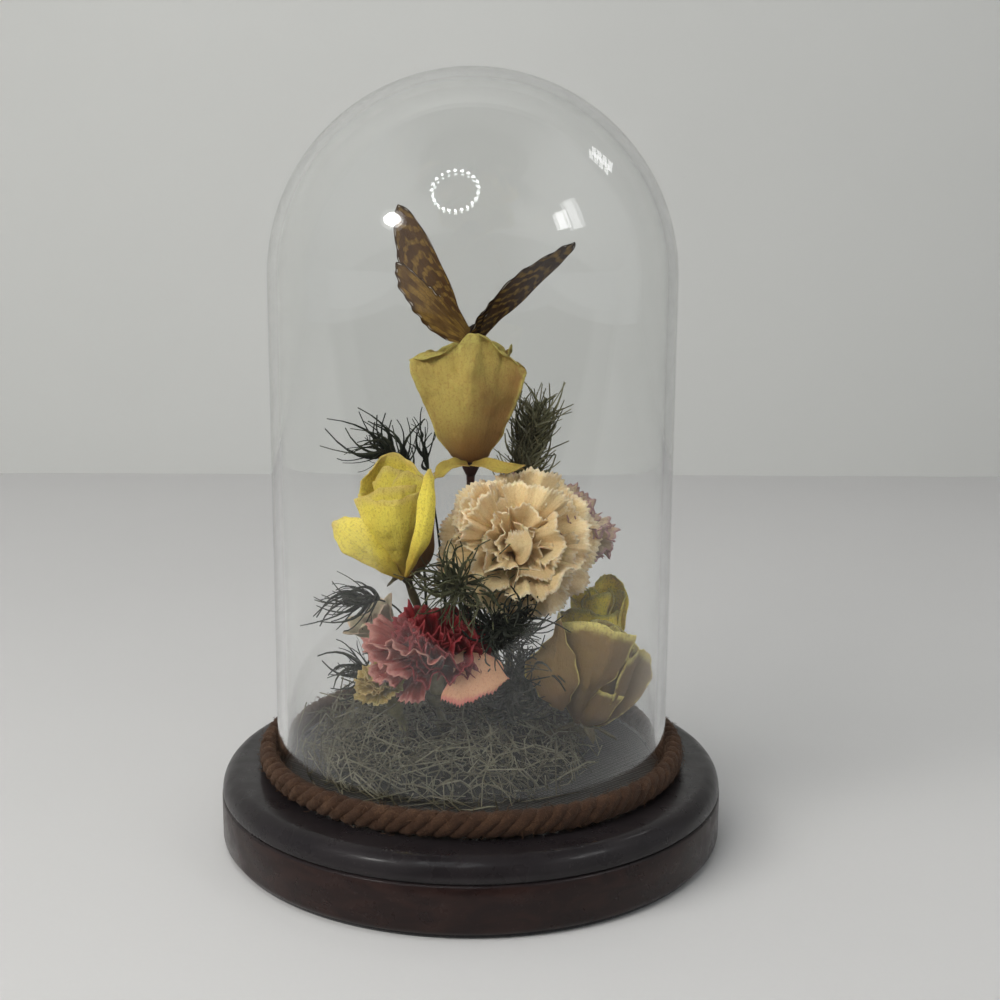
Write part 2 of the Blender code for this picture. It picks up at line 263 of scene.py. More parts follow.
def close_ends(verts, uvs, rows, steps, foot, tip):
    """The sheet of a tube whose rings are joined and closed at a point at each end."""
    faces = band_faces(rows, steps)
    low, high, last = len(verts), len(verts) + 1, (rows - 1) * steps
    for k in range(steps):
        n = (k + 1) % steps
        faces += [(n, k, low), (last + k, last + n, high)]
    return [tuple(v) for v in verts] + [tuple(foot), tuple(tip)], uvs + [(0.5, 0), (0.5, 1)], faces


def lathe_mesh(name, profile, steps):
    """Closed turned mesh; the profile runs down the outer side and ends on the axis or at its start."""
    verts, faces, ring_of = [], [], []
    for radius, height in profile:
        ring = [(0, 0, height)] if radius < 1e-7 else ring_points(radius, steps, height)
        ring_of.append((len(verts), len(ring)))
        verts += ring
    pairs = list(zip(ring_of, ring_of[1:]))
    if ring_of[0][1] > 1:
        pairs.append((ring_of[-1], ring_of[0]))
    for (a, count_a), (b, count_b) in pairs:
        for k in range(steps):
            n = (k + 1) % steps
            if count_a == 1:
                faces.append((a, b + k, b + n))
            elif count_b == 1:
                faces.append((a + k, b, a + n))
            else:
                faces.append((a + k, b + k, b + n, a + n))
    mesh = new_mesh(name, verts, faces)
    mesh.shade_smooth()
    mesh.set_sharp_from_angle(angle=math.radians(38))
    return mesh


def smooth_arc(centre_r, centre_z, radius_r, radius_z, start_deg, end_deg, count):
    points = []
    for i in range(count):
        a = math.radians(start_deg + (end_deg - start_deg) * i / (count - 1))
        points.append((centre_r + radius_r * math.cos(a), centre_z + radius_z * math.sin(a)))
    return points


# ---------------------------------------------------------------------------------------------------
# Shader and geometry node trees.
# ---------------------------------------------------------------------------------------------------

def node_sum(operation, swapped=False):
    """A method that joins a wire and another value through a Math node."""
    def method(self, other):
        values = (other, self) if swapped else (self, other)
        return self.tree.math(operation, *values)
    return method


class Wire:
    """A node's output, which can stand in sums."""

    def __init__(self, tree, socket):
        self.tree = tree
        self.socket = socket

    __add__ = node_sum('ADD')
    __sub__ = node_sum('SUBTRACT')
    __rsub__ = node_sum('SUBTRACT', swapped=True)
    __mul__ = node_sum('MULTIPLY')
    __truediv__ = node_sum('DIVIDE')

    def __abs__(self):
        return self.tree.math('ABSOLUTE', self)


class NodeTree:
    """Short ways to add and join nodes, shared by the shader and the geometry trees."""

    def __init__(self, tree):
        self.tree = tree

    def feed(self, socket, value):
        if isinstance(value, Wire):
            self.tree.links.new(value.socket, socket)
        elif value is not None:
            socket.default_value = value

    def add(self, kind, inputs=None, **settings):
        node = self.tree.nodes.new(kind)
        for key, value in settings.items():
            setattr(node, key, value)
        for key, value in (inputs or {}).items():
            self.feed(node.inputs[key], value)
        return node

    def out(self, kind, inputs=None, output=0, **settings):
        """One output of a new node."""
        return Wire(self, self.add(kind, inputs, **settings).outputs[output])

    def math(self, operation, *values):
        return self.out("ShaderNodeMath", dict(enumerate(values)), operation=operation)

    def vector(self, operation, a, b=None, **more):
        return self.out("ShaderNodeVectorMath", {0: a, 1: b, **more}, operation=operation)

    def smooth(self, value, low, high, start=0, end=1):
        return self.out("ShaderNodeMapRange", {"Value": value, "From Min": low, "From Max": high,
                                               "To Min": start, "To Max": end}, interpolation_type='SMOOTHSTEP')

    def split(self, vector):
        node = self.add("ShaderNodeSeparateXYZ", {0: vector})
        return [Wire(self, socket) for socket in node.outputs]

    def combine(self, x=None, y=None, z=None):
        return self.out("ShaderNodeCombineXYZ", {0: x, 1: y, 2: z})


class Finish(NodeTree):
    """A Principled material being built."""

    def __init__(self, name, roughness=0.6, **uniform):
        self.mat = bpy.data.materials.new(name)
        self.mat.use_nodes = True
        super().__init__(self.mat.node_tree)
        self.shader = self.tree.nodes["Principled BSDF"]
        self.set(Roughness=roughness, **uniform)
        self.object_place = self.out("ShaderNodeTexCoord", output="Object")

    def set(self, **values):
        """Sets or joins the shader's own sockets."""
        for key, value in values.items():
            self.feed(self.shader.inputs[key.replace("_", " ")], value)

    def uv(self):
        return self.split(self.out("ShaderNodeUVMap", uv_map="petal_map"))[:2]

    def tone(self):
        return self.out("ShaderNodeAttribute", output="Fac", attribute_name="tone")

    def noise(self, scale, detail=3, place=None, rough=0.55, distortion=0):
        return self.out("ShaderNodeTexNoise", {"Vector": place or self.object_place, "Scale": scale, "Detail": detail,
                                               "Roughness": rough, "Distortion": distortion}, "Fac")

    def blend(self, factor, a, b):
        a, b = (value if isinstance(value, Wire) else (*value, 1) for value in (a, b))
        return self.out("ShaderNodeMix", {"Factor": factor, 6: a, 7: b}, 2, data_type='RGBA')

    def ramp(self, factor, stops):
        node = self.add("ShaderNodeValToRGB", {"Fac": factor})
        points = node.color_ramp.elements
        while len(points) < len(stops):
            points.new(0.5)
        for point, (place, color) in zip(points, stops):
            point.position = place
            point.color = (*color, 1)
        return Wire(self, node.outputs["Color"])

    def bump(self, *layers):
        """Each layer is (height, strength, distance in metres)."""
        normal = None
        for height, strength, distance in layers:
            normal = self.out("ShaderNodeBump", {"Height": height, "Strength": strength, "Distance": distance,
                                                 "Normal": normal})
        self.set(Normal=normal)


class ShapeTree(NodeTree):
    """A Geometry Nodes tree being built, with named inputs: a dictionary of names and socket kinds."""

    def __init__(self, name, sockets):
        super().__init__(bpy.data.node_groups.new(name, "GeometryNodeTree"))
        for label, kind in {"Geometry": "Geometry", **sockets}.items():
            self.tree.interface.new_socket(label, in_out='INPUT', socket_type="NodeSocket" + kind)
        self.tree.interface.new_socket("Geometry", in_out='OUTPUT', socket_type="NodeSocketGeometry")
        node = self.add("NodeGroupInput")
        self.given = {socket.name: Wire(self, socket) for socket in node.outputs if socket.name}

    def random(self, low, high, offset):
        node = self.add("FunctionNodeRandomValue", data_type='FLOAT')
        self.feed(node.inputs[2], low)
        self.feed(node.inputs[3], high)
        self.feed(node.inputs["Seed"], self.given["Seed"] + float(offset))
        return Wire(self, node.outputs[1])

    def turn(self, rotation, axis, angle):
        spin = self.out("FunctionNodeAxisAngleToRotation", {"Axis": axis, "Angle": angle})
        return self.out("FunctionNodeRotateRotation", {"Rotation": rotation, "Rotate By": spin},
                        rotation_space='LOCAL')

    def circle(self, radius, sides):
        return self.out("GeometryNodeCurvePrimitiveCircle", {"Resolution": sides, "Radius": radius}, mode='RADIUS')

    def sweep(self, curve, profile, **more):
        return self.out("GeometryNodeCurveToMesh", {"Curve": curve, "Profile Curve": profile, **more})

    def store_tone(self, geometry, value, domain='INSTANCE'):
        return self.out("GeometryNodeStoreNamedAttribute", {"Geometry": geometry, "Name": "tone", "Value": value},
                        data_type='FLOAT', domain=domain)

    def join(self, *parts):
        node = self.add("GeometryNodeJoinGeometry")
        for part in parts:
            self.feed(node.inputs[0], part)
        return Wire(self, node.outputs[0])

    def soften(self, geometry):
        return self.out("GeometryNodeSetShadeSmooth", {0: geometry})

    def finish(self, geometry):
        """Closes the tree with real geometry in the given material."""
        real = self.out("GeometryNodeRealizeInstances", {0: geometry})
        painted = self.out("GeometryNodeSetMaterial", {"Geometry": real, "Material": self.given["Material"]})
        self.feed(self.add("NodeGroupOutput").inputs[0], painted)
        return self


def grow(name, source, shape, values):
    """Runs a geometry tree on a source mesh and returns the result as a plain mesh."""
    holder = place_mesh(name + "_source", source)
    modifier = holder.modifiers.new("Grow", 'NODES')
    modifier.node_group = shape.tree
    for item in shape.tree.interface.items_tree:
        if item.in_out == 'INPUT' and item.name in values:
            value = values[item.name]
            modifier[item.identifier] = float(value) if item.socket_type == "NodeSocketFloat" else value
    evaluated = holder.evaluated_get(bpy.context.evaluated_depsgraph_get())
    mesh = bpy.data.meshes.new_from_object(evaluated)
    mesh.name = name
    bpy.data.objects.remove(holder, do_unlink=True)
    return mesh


def darker(color, share):
    return tuple(c * share for c in color)


# ---------------------------------------------------------------------------------------------------
# Finishes.
# ---------------------------------------------------------------------------------------------------

def lacquered_wood(settings):
    """Near-black lacquer on top, thinner and browner on the side wall, with a fine orange peel."""
    finish = Finish("dark_lacquered_wood", roughness=0.3, Specular_IOR_Level=0.2, Coat_Weight=0.15,
                    Coat_Roughness=0.12)
    x, y, z = finish.split(finish.object_place)
    on_top = finish.smooth(z, 0.0138, 0.0152)
    ring = finish.math('ARCTAN2', y, x)
    grain = finish.noise(3, detail=6, place=finish.combine(ring * 2.5, z * 90.0, x * 6.0), distortion=0.6)
    brown = finish.blend(finish.smooth(grain, 0.35, 0.7), settings.side_color, (0.022, 0.010, 0.008))
    mottle = finish.noise(60, detail=4)
    black = finish.blend(finish.smooth(mottle, 0.3, 0.75), settings.top_color, (0.010, 0.008, 0.009))
    dust = finish.smooth(finish.noise(900, detail=2), 0.62, 0.75, 0, 0.12)
    finish.set(Base_Color=finish.blend(dust, finish.blend(on_top, brown, black), (0.10, 0.09, 0.085)),
               Roughness=finish.smooth(finish.noise(140, detail=5), 0.25, 0.75, 0.22, 0.42))
    finish.bump((finish.noise(1400, detail=2), 0.25, 0.00006), (finish.noise(260), 0.18, 0.00015))
    return finish.mat


def pressed_felt():
    finish = Finish("black_felt", roughness=0.95, Sheen_Weight=0.3, Sheen_Roughness=0.6)
    speck = finish.noise(1800, detail=4)
    finish.set(Base_Color=finish.ramp(speck, ((0.3, (0.004, 0.004, 0.004)), (0.7, (0.018, 0.017, 0.018)))))
    finish.bump((speck, 0.8, 0.0003))
    return finish.mat


def woven_cloth(settings):
    """Charcoal cloth with a lattice of lighter raised threads."""
    finish = Finish("charcoal_cloth", roughness=0.85, Sheen_Weight=0.08, Sheen_Roughness=0.5)
    x, y, _ = finish.split(finish.object_place)
    step = math.pi / settings.thread_pitch
    wobble = finish.noise(90) * 1.2
    warp = finish.math('SINE', x * step + wobble)
    weft = finish.math('SINE', y * step + wobble)
    weave = warp * weft + 1.0
    knots = finish.smooth(weave, 1.1, 1.9)
    base = finish.ramp(finish.noise(500, detail=4),
                       ((0.3, (0.015, 0.0145, 0.014)), (0.7, (0.034, 0.033, 0.031))))
    finish.set(Base_Color=finish.blend(knots * 0.6, base, (0.060, 0.057, 0.053)))
    finish.bump((weave, 0.7, 0.00012), (finish.noise(2500), 0.4, 0.00008))
    return finish.mat


def cord_yarn(settings):
    """Brown chenille-like yarn: many short fibres; the glint colour, spread by noise, is a painted highlight where
    light would catch them, and loose fibres are blended lighter.
    """
    finish = Finish("brown_cord_yarn", roughness=0.9, Sheen_Weight=0.15, Sheen_Roughness=0.45,
                    Sheen_Tint=(0.6, 0.42, 0.3, 1))
    fibre = finish.noise(2600, detail=5, rough=0.7)
    lump = finish.noise(220)
    body = finish.ramp(fibre * 0.65 + lump * 0.35, ((0.34, (0.020, 0.009, 0.005)), (0.50, settings.yarn_color),
                                                    (0.66, settings.painted_glint_color)))
    finish.set(Base_Color=finish.blend(finish.smooth(finish.tone(), 0, 1, 0, 0.5), body, (0.11, 0.058, 0.028)))
    finish.bump((fibre, 0.9, 0.00035), (lump, 0.5, 0.0006))
    return finish.mat


def clear_glass(settings):
    """Clear glass that lets lamp light through to what stands inside."""
    finish = Finish("clear_glass", roughness=0, Transmission_Weight=1, IOR=settings.refraction,
                    Base_Color=(*settings.tint, 1))
    shadow = finish.out("ShaderNodeLightPath", output="Is Shadow Ray")
    through = finish.out("ShaderNodeBsdfTransparent", {"Color": (0.93, 0.935, 0.93, 1)})
    glossy = Wire(finish, finish.shader.outputs[0])
    mixed = finish.out("ShaderNodeMixShader", {0: shadow, 1: glossy, 2: through})
    finish.feed(finish.tree.nodes["Material Output"].inputs["Surface"], mixed)
    return finish.mat


def dried_petal(name, deep, body, edge, blotch, veins=16, blotch_amount=0.45, edge_width=0.12, crease=1.0,
                painted_side_shade=None):
    """Dried petal: colour from base to rim with painted shade at the foot (the deep colour), a brown worn edge, fine
    veins and crinkles along the petal.
    """
    finish = Finish(name, roughness=0.68, Specular_IOR_Level=0.25, Subsurface_Weight=0.08, Subsurface_Scale=0.001)
    u, v = finish.uv()
    aside = abs(u * 2.0 - 1.0)
    soft = finish.noise(210, detail=4)
    fan = u * veins + soft * 1.6
    vein = finish.math('POWER', abs(finish.math('SINE', fan * math.pi)), 0.4)
    # painted shade: the deep colour at the petal's foot stands in for the shade down in the bloom's crevices
    along = finish.ramp(v, ((0, deep), (0.45, body), (0.92, body), (1, edge)))
    patches = finish.noise(95, detail=5, rough=0.62)
    blotched_and_shaded = finish.blend(finish.smooth(patches, 0.48, 0.72, 0, blotch_amount), along, blotch)
    # painted shade: blends towards the shade colour on the side of the bloom that lies along lean, away from the
    # light
    if painted_side_shade:
        lean, low, high, shade = painted_side_shade
        across = finish.out("ShaderNodeVectorMath", {0: finish.object_place, 1: lean}, "Value",
                            operation='DOT_PRODUCT')
        uneven = across + (patches - 0.5) * 0.012
        blotched_and_shaded = finish.blend(finish.smooth(uneven, low, high, 0, 0.8), blotched_and_shaded, shade)
    rim = finish.math('MAXIMUM', finish.smooth(v, 1 - edge_width, 1), finish.smooth(aside, 0.90, 1))
    worn = rim * finish.smooth(finish.noise(330), 0.34, 0.58, 0, 0.85)
    edged = finish.blend(worn, blotched_and_shaded, edge)
    lined = finish.blend(finish.smooth(vein, 0, 0.9, 0.26, 0), edged, blotch)
    speck = finish.smooth(finish.noise(1500, detail=2), 0.50, 0.66, 0, 0.40)
    finish.set(Base_Color=finish.out("ShaderNodeHueSaturation", {
        "Color": finish.blend(speck, lined, blotch), "Saturation": 1.02,
        "Value": finish.smooth(finish.tone(), 0, 1, 0.74, 1.22)}))
    stretch = finish.combine(u * 26.0, v * 15.0, finish.tone())
    crinkle = finish.noise(1.6, detail=5, place=stretch, rough=0.6, distortion=0.5)
    finish.bump((vein, 0.35 * crease, 0.00018), (crinkle, 0.6 * crease, 0.0006),
                (finish.noise(850, detail=4), 0.8, 0.00030))
    return finish.mat


def plant_stem(name, body, dark):
    finish = Finish(name, roughness=0.65)
    streak = finish.noise(420, detail=4)
    finish.set(Base_Color=finish.ramp(streak, ((0.3, dark), (0.68, body))))
    finish.bump((streak, 0.5, 0.0003))
    return finish.mat


def toned_fibre(name, dark, body, light, roughness=0.75):
    """Thin fibres or needles whose colour changes from one to the next and a little along each."""
    finish = Finish(name, roughness=roughness, Specular_IOR_Level=0.2)
    mixed = finish.tone() * 0.75 + finish.noise(350) * 0.35
    finish.set(Base_Color=finish.ramp(mixed, ((0.15, dark), (0.52, body), (0.95, light))))
    finish.bump((finish.noise(2400), 0.4, 0.0001))
    return finish.mat


def wing_scales(name, dark, ochre, tip_shade, patch_level, cells_across=8.4, bands_along=62.0, slant=7.0):
    """Brown wing with ochre patches between the veins, a dark margin and pale dots along it."""
    finish = Finish(name, roughness=0.85, Specular_IOR_Level=0.06)
    out, fore = finish.uv()
    fore = fore - 0.5
    warp = (finish.noise(150) - 0.5) * 0.16
    angle = finish.math('ARCTAN2', fore, out + 0.05) + warp * 0.35
    reach = finish.math('SQRT', out * out + fore * fore)
    cells = angle * cells_across
    inside = finish.math('FRACT', cells)
    chance = finish.out("ShaderNodeTexWhiteNoise", {"W": finish.math('FLOOR', cells)}, "Value",
                        noise_dimensions='1D')
    from_vein = finish.math('MINIMUM', inside, 1.0 - inside) * reach
    bands = (reach + warp) * bands_along + (chance * 3.2 + angle * slant)
    patch = (finish.smooth(finish.math('SINE', bands), patch_level - 0.2, patch_level + 0.7)
             * finish.smooth(from_vein, 0.004, 0.05))
    patch = patch * finish.smooth(finish.noise(420), 0.3, 0.62, 0.22, 0.72)
    scales = finish.noise(2400)
    ground = finish.ramp(finish.noise(170, detail=5), ((0.3, dark), (0.75, tip_shade)))
    gold = finish.blend(finish.smooth(scales, 0.35, 0.7), ochre, darker(ochre, 0.62))
    colored = finish.blend(patch, ground, gold)
    margin = finish.tone()
    edged = finish.blend(finish.smooth(margin, 0.62, 0.9, 0, 0.9), colored, darker(dark, 0.55))
    dots = finish.smooth(abs(inside - 0.5), 0.24, 0.10) * finish.smooth(abs(margin - 0.86), 0.07, 0.02)
    dotted = finish.blend(dots * 0.8, edged, (0.55, 0.50, 0.42))
    finish.set(Base_Color=finish.blend(finish.smooth(from_vein, 0.002, 0.010, 0.75, 0), dotted, darker(dark, 0.5)))
    finish.bump((finish.smooth(from_vein, 0, 0.012), 0.6, 0.0002), (scales, 0.35, 0.00008))
    return finish.mat


def pale_ground(name, color, mirrored=1.0):
    """Pale paper; mirrored is how bright its reflection shows in the glass."""
    finish = Finish(name, roughness=0.8, Specular_IOR_Level=0.2)
    grit = finish.noise(700, detail=2)
    shade = finish.noise(2.5, detail=4) * 0.85 + grit * 0.15
    paper = finish.ramp(shade, ((0.3, darker(color, 0.95)), (0.7, color)))
    bounces = finish.math('MINIMUM', finish.out("ShaderNodeLightPath", output="Glossy Depth"), 1.0)
    finish.set(Base_Color=finish.blend(bounces * (1 - mirrored), paper, (0, 0, 0)))
    finish.bump((grit, 0.08, 0.0001))
    return finish.mat


# ---------------------------------------------------------------------------------------------------
# Petals. Angles run round the bloom's own axis: 0 is its front, 90 its right-hand side.
# ---------------------------------------------------------------------------------------------------

def step_up(value, low, high):
    t = np.clip((value - low) / (high - low), 0, 1)
    return t * t * (3 - 2 * t)


def eased(keys, at):
    """Smooth values between (place, value) keys."""
    places, values = np.array(keys, dtype=float).T
    at = np.clip(at, places[0], places[-1])
    i = np.clip(np.searchsorted(places, at, side="right") - 1, 0, len(places) - 2)
    t = step_up(at, places[i], places[i + 1])
    return values[i] * (1 - t) + values[i + 1] * t


def wander(x, y, z):
    return noise.noise(Vector((x, y, z)))


def saw_edge(cols):
    """A pinked edge with four columns to a tooth, from 0 to 1."""
    return np.abs(((np.arange(cols) / 4) % 1) * 2 - 1)


def crumple(grid, size, seed, folds=0.11, fine=0.38):
    """Noise offsets, in mm, for dried tissue: broad dents and finer crinkles."""
    offset = Vector((seed * 7.31, seed * 3.77, seed * 1.93))
    points = [Vector(p) for p in grid.reshape(-1, 3)]
    out = [(noise.noise(p * folds + offset) + 0.38 * noise.noise(p * fine - offset)
            + 0.15 * noise.noise(p * fine * 2.7 + offset)) * size for p in points]
    return np.array(out).reshape(grid.shape[:-1])


def even_spline(corners, count, closed=False):
    """Evenly spaced points, and their places along it, on a smooth curve through the corners."""
    pts = np.array(corners, dtype=float)
    if closed:
        run_of = np.vstack([pts[-1:], pts, pts[:2]])
    else:
        run_of = np.vstack([2 * pts[0] - pts[1], pts, 2 * pts[-1] - pts[-2]])
    fine = []
    for a, b, c, d in zip(run_of, run_of[1:], run_of[2:], run_of[3:]):
        for t in np.linspace(0, 1, 24, endpoint=False):
            fine.append(0.5 * (2 * b + (c - a) * t + (2 * a - 5 * b + 4 * c - d) * t * t
                               + (3 * b - a - 3 * c + d) * t ** 3))
    fine = np.array(fine + [pts[0] if closed else pts[-1]])
    run = np.concatenate([[0], np.cumsum(np.linalg.norm(np.diff(fine, axis=0), axis=1))])
    at = np.linspace(0, run[-1], count, endpoint=not closed)
    return at, np.stack([np.interp(at, run, fine[:, k]) for k in range(pts.shape[1])], axis=-1)


def turned(radial, sideways, z, around):
    """Points set round the bloom's axis."""
    a = math.radians(around)
    return np.stack([radial * math.sin(a) + sideways * math.cos(a),
                     -radial * math.cos(a) + sideways * math.sin(a), z], axis=-1)


ROLL_RADIUS = 2.6
THIN = 0.28


def wrapped_petal(draft, around, route, half_width, rim, fold=((-1, 0), (1, 0)), fold_turn=130, roll=(0, 0),
                  roll_from=(0.3, 0.9), wrap=1, rough=1, seed=0, slot=0, tone=0.5, rows=44, cols=30, creases=()):
    """One petal that wraps the bloom.

    route: (radius, height) stations of its middle line; half_width: (place along, mm) keys; rim: (across, mm)
    keys for how far it reaches before it folds; fold: (across, mm) keys for the flap turned outwards; roll:
    how many degrees its left and right sides turn outwards, growing between the two places in roll_from;
    creases: (across, breadth, height in mm, from, to) of ridges and dents that run along it.
    """
    at, places = even_spline(route, 160)
    radius, height = places.T
    slope = np.unwrap(np.arctan2(np.gradient(height), np.gradient(radius)))
    u = np.linspace(-1, 1, cols)
    ragged = np.array([wander(x * 3.1, seed * 2.7, 0.4) * 0.9 + wander(x * 9.5, seed * 1.9, 1.7) * 0.35 for x in u])
    reach = eased(rim, u) + ragged * 0.5
    flap = np.maximum(eased(fold, u), 0)
    total = reach + flap
    share = np.linspace(0, 1, rows)
    s = share[:, None] * total[None, :]
    over = step_up(s - reach[None, :], 0, 1.3) * (flap[None, :] > 0.3)
    heading = np.interp(s, at, slope, right=slope[-1]) - math.radians(fold_turn) * over
    ds = np.diff(s, axis=0)
    middle = (heading[1:] + heading[:-1]) / 2
    r, z = (route[0][axis] + np.vstack([np.zeros(cols), np.cumsum(wave(middle) * ds, axis=0)])
            for axis, wave in enumerate((np.cos, np.sin)))
    held = np.minimum(s, reach[None, :])
    r_held = np.interp(held, at, radius) + np.maximum(held - at[-1], 0) * math.cos(slope[-1])
    width = eased(half_width, np.clip(s / total.max(), 0, 1))
    arc = u[None, :] * width
    circle = np.maximum(r_held * wrap, 1.6)
    turn = arc / circle
    radial = r_held - circle + circle * np.cos(turn)
    sideways = circle * np.sin(turn)
    for side, degrees in zip((-1, 1), roll):
        if not degrees:
            continue
        limit = 0.55 * width * side
        beyond = np.maximum((arc - limit) * side, 0)
        bend = np.minimum(beyond / ROLL_RADIUS, math.radians(degrees) * step_up(share, *roll_from)[:, None])
        start = limit / circle
        rest = np.maximum(beyond - bend * ROLL_RADIUS, 0)
        along = ROLL_RADIUS * np.sin(bend) + rest * np.cos(bend)
        away = ROLL_RADIUS * (1 - np.cos(bend)) + rest * np.sin(bend)
        rolled_r = r_held - circle + circle * np.cos(start) - np.sin(start) * side * along + np.cos(start) * away
        rolled_t = circle * np.sin(start) + np.cos(start) * side * along + np.sin(start) * away
        radial = np.where(beyond > 0, rolled_r, radial)
        sideways = np.where(beyond > 0, rolled_t, sideways)
    extra = np.where(s > reach[None, :], r - r_held, 0)
    for across, breadth, depth, first, last in creases:
        half_way = (first + last) / 2
        ridge = np.exp(-((u[None, :] - across) / breadth) ** 2) * depth
        ridge = ridge * step_up(share, first, half_way)[:, None]
        extra = extra + ridge * (1 - step_up(share, half_way, last)[:, None] * 0.8)
    grid = turned(radial + extra * np.cos(turn), sideways + extra * np.sin(turn), z, around)
    a = math.radians(around)
    rough *= draft.crumple
    outward = np.stack([np.sin(turn + a), -np.cos(turn + a), np.zeros_like(turn)], axis=-1)
    grid = grid + outward * (crumple(grid, rough, seed + 0.5) * (0.25 + 0.75 * share[:, None]))[..., None]
    grid[..., 2] += crumple(grid + 31, rough * 0.6, seed + 2.5) * share[:, None]
    draft.add(closed_sheet(grid * MM, THIN * MM), slot, tone)


def laid_petal(draft, spine, left, right, face=(0, -1, 0), bow=1, crease=0, curl=(0, 0), rim=((-1, 0), (1, 0)),
               rough=1, seed=0, slot=0, tone=0.5, thickness=THIN, rows=44, cols=30, teeth=0):
    """One petal laid along its spine, which runs from foot to tip in the dome's own place, in mm.

    left and right: (place along, mm) keys of its half-widths; face: the way its front looks; bow and crease
    lift its middle, round or sharp; curl lifts its left and right edges; rim: (across, mm) keys past the tip;
    teeth pink the rim.
    """
    if teeth:
        cols = 4 * teeth + 1
    middle = even_spline(spine, rows)[1]
    ahead = np.gradient(middle, axis=0)
    ahead /= np.linalg.norm(ahead, axis=1, keepdims=True)
    side = np.cross(ahead, np.array(face, dtype=float))
    side /= np.linalg.norm(side, axis=1, keepdims=True)
    front = np.cross(side, ahead)
    u = np.linspace(-1, 1, cols)[None, :]
    share = np.linspace(0, 1, rows)
    half = np.where(u < 0, eased(left, share)[:, None], eased(right, share)[:, None])
    ragged = np.array([[wander(v * 5, k, seed * 2.3) for k in (0.3, 4.7)] for v in share])
    across = u * half * (1 + 0.10 * np.where(u < 0, ragged[:, :1], ragged[:, 1:]))
    full = half / max(half.max(), 1e-6)
    rise = full * (bow * (1 - u * u) + crease * (1 - np.abs(u)) + curl[0] * step_up(-u, 0.3, 1)
                   + curl[1] * step_up(u, 0.3, 1))
    frayed = np.array([wander(x * 4, seed * 1.7, 3.1) * 0.5 for x in u[0]])
    reach = (eased(rim, u[0]) + frayed)[None, :] * (share ** 3)[:, None]
    if teeth:
        reach = reach + (saw_edge(cols) * (0.9 + frayed))[None, :] * (share ** 8)[:, None]
    grid = middle[:, None, :] + side[:, None, :] * across[..., None] + ahead[:, None, :] * reach[..., None]
    dent = crumple(grid, rough * draft.crumple, seed + 0.5)
    grid = grid + front[:, None, :] * (rise + dent)[..., None]
    back = np.array(draft.move.inverted())
    verts, uvs, faces = closed_sheet(grid * MM, thickness * MM)
    draft.add((verts @ back[:3, :3].T + back[:3, 3], uvs, faces), slot, tone)


def heart_petals(draft, count, height, radius, seed, start=0, rough=0.35, open_out=0):
    """The tight spiral of petals in the middle of a rose."""
    for k in range(count):
        t = k / max(1, count - 1)
        r = radius * (0.16 + 0.70 * t)
        top = height * (1 - 0.10 * (1 - t) + 0.03 * math.sin(k * 2.1 + seed))
        route = [(1.1, 1.5), (r * 0.75 + 0.8, top * 0.20), (r * 1.05 + 0.4, top * 0.50),
                 (r * 0.98, top * 0.80), (r * (0.80 + 0.25 * t) + open_out * t, top)]
        half = r * (2.3 - 0.7 * t) + 1.6
        length = top * 1.07 + r * 0.4
        wrapped_petal(draft, start + 137.5 * k, route, ((0, 1.2), (0.35, half * 0.8), (0.8, half), (1, half * 0.8)),
                      ((-1, length * 0.80), (-0.4, length * 0.97), (0.1, length), (1, length * 0.82)),
                      rough=rough, seed=seed + k * 3.3, tone=0.35 + 0.3 * t, rows=30, cols=26)


def bloom_turn(neck, facing):
    """Matrix that sets a bloom built along +Z on its neck; its front is towards -Y, or down if it faces -Y."""
    up = Vector(facing).normalized()
    front = Vector((0, -1, 0))
    if up.dot(front) > 0.75:
        front = Vector((0, 0, -1))
    front = (front - up * front.dot(up)).normalized()
    turn = Matrix((up.cross(front), -front, up)).transposed()
    return Matrix.Translation(Vector(neck) * MM) @ turn.to_4x4()


def flower_draft(name, crumple=1):
    neck, facing, _ = FLOWER_PLACES_MM[name]
    return Draft(bloom_turn(neck, facing), crumple)


def finish_flower(draft, name, materials, flare=1):
    """Adds the stem, put in the bloom's own frame so that the whole flower moves as one, and finishes."""
    neck, facing, foot = FLOWER_PLACES_MM[name]
    neck, facing = Vector(neck) * MM, Vector(facing).normalized()
    base = Vector((foot[0] * MM, foot[1] * MM, 0))
    base.z = moss_height(base.x, base.y) + 0.95 * MM
    rise = neck.z - base.z
    controls = (base, base + Vector((0, 0, 0.45 * rise)), neck - facing * rise * 0.18, neck)
    back = draft.move.inverted()
    points = [back @ p for p in bezier_points(controls, 22)]
    radii = [FLOWER_STEM_RADIUS * (0.92 + 0.10 * math.sin(i * 1.3)) for i in range(len(points))]
    radii[0] *= 0.8
    radii[-1] *= flare
    draft.add(tube(points, radii, 12), 1, 0.4)
    swell = ((-2.6, 1.2), (-1.6, 1.7), (-0.4, 2.3), (0.8, 2.6), (2.0, 2.2), (2.8, 1.2))
    draft.add(tube([(0, 0, h * MM) for h, _ in swell], [r * MM * flare for _, r in swell], 14), 1, 0.5)
    finish_piece(draft.finish(name + "_bloom", materials), name)


def sepals(draft, length, droop, slot, width, places, rough=0.7, tone=0.5):
    """Small pointed leaves under the bloom; places are (around, seed) pairs."""
    for around, seed in places:
        route = [(1.6, 0.6), (3 + 1.5 * droop, 1.2), (length * 0.55, 2.6 - 3 * droop), (length, 4.5 - 8 * droop)]
        wrapped_petal(draft, around, route, ((0, 1.6), (0.4, width), (0.8, width * 0.55), (1, 0.25)),
                      ((-1, length * 1.02), (0, length * 1.12), (1, length * 1.02)), wrap=3, rough=rough,
                      seed=seed, slot=slot, tone=tone, rows=18, cols=8)


FAN_ROWS = 16
CLAW_ROWS = 3


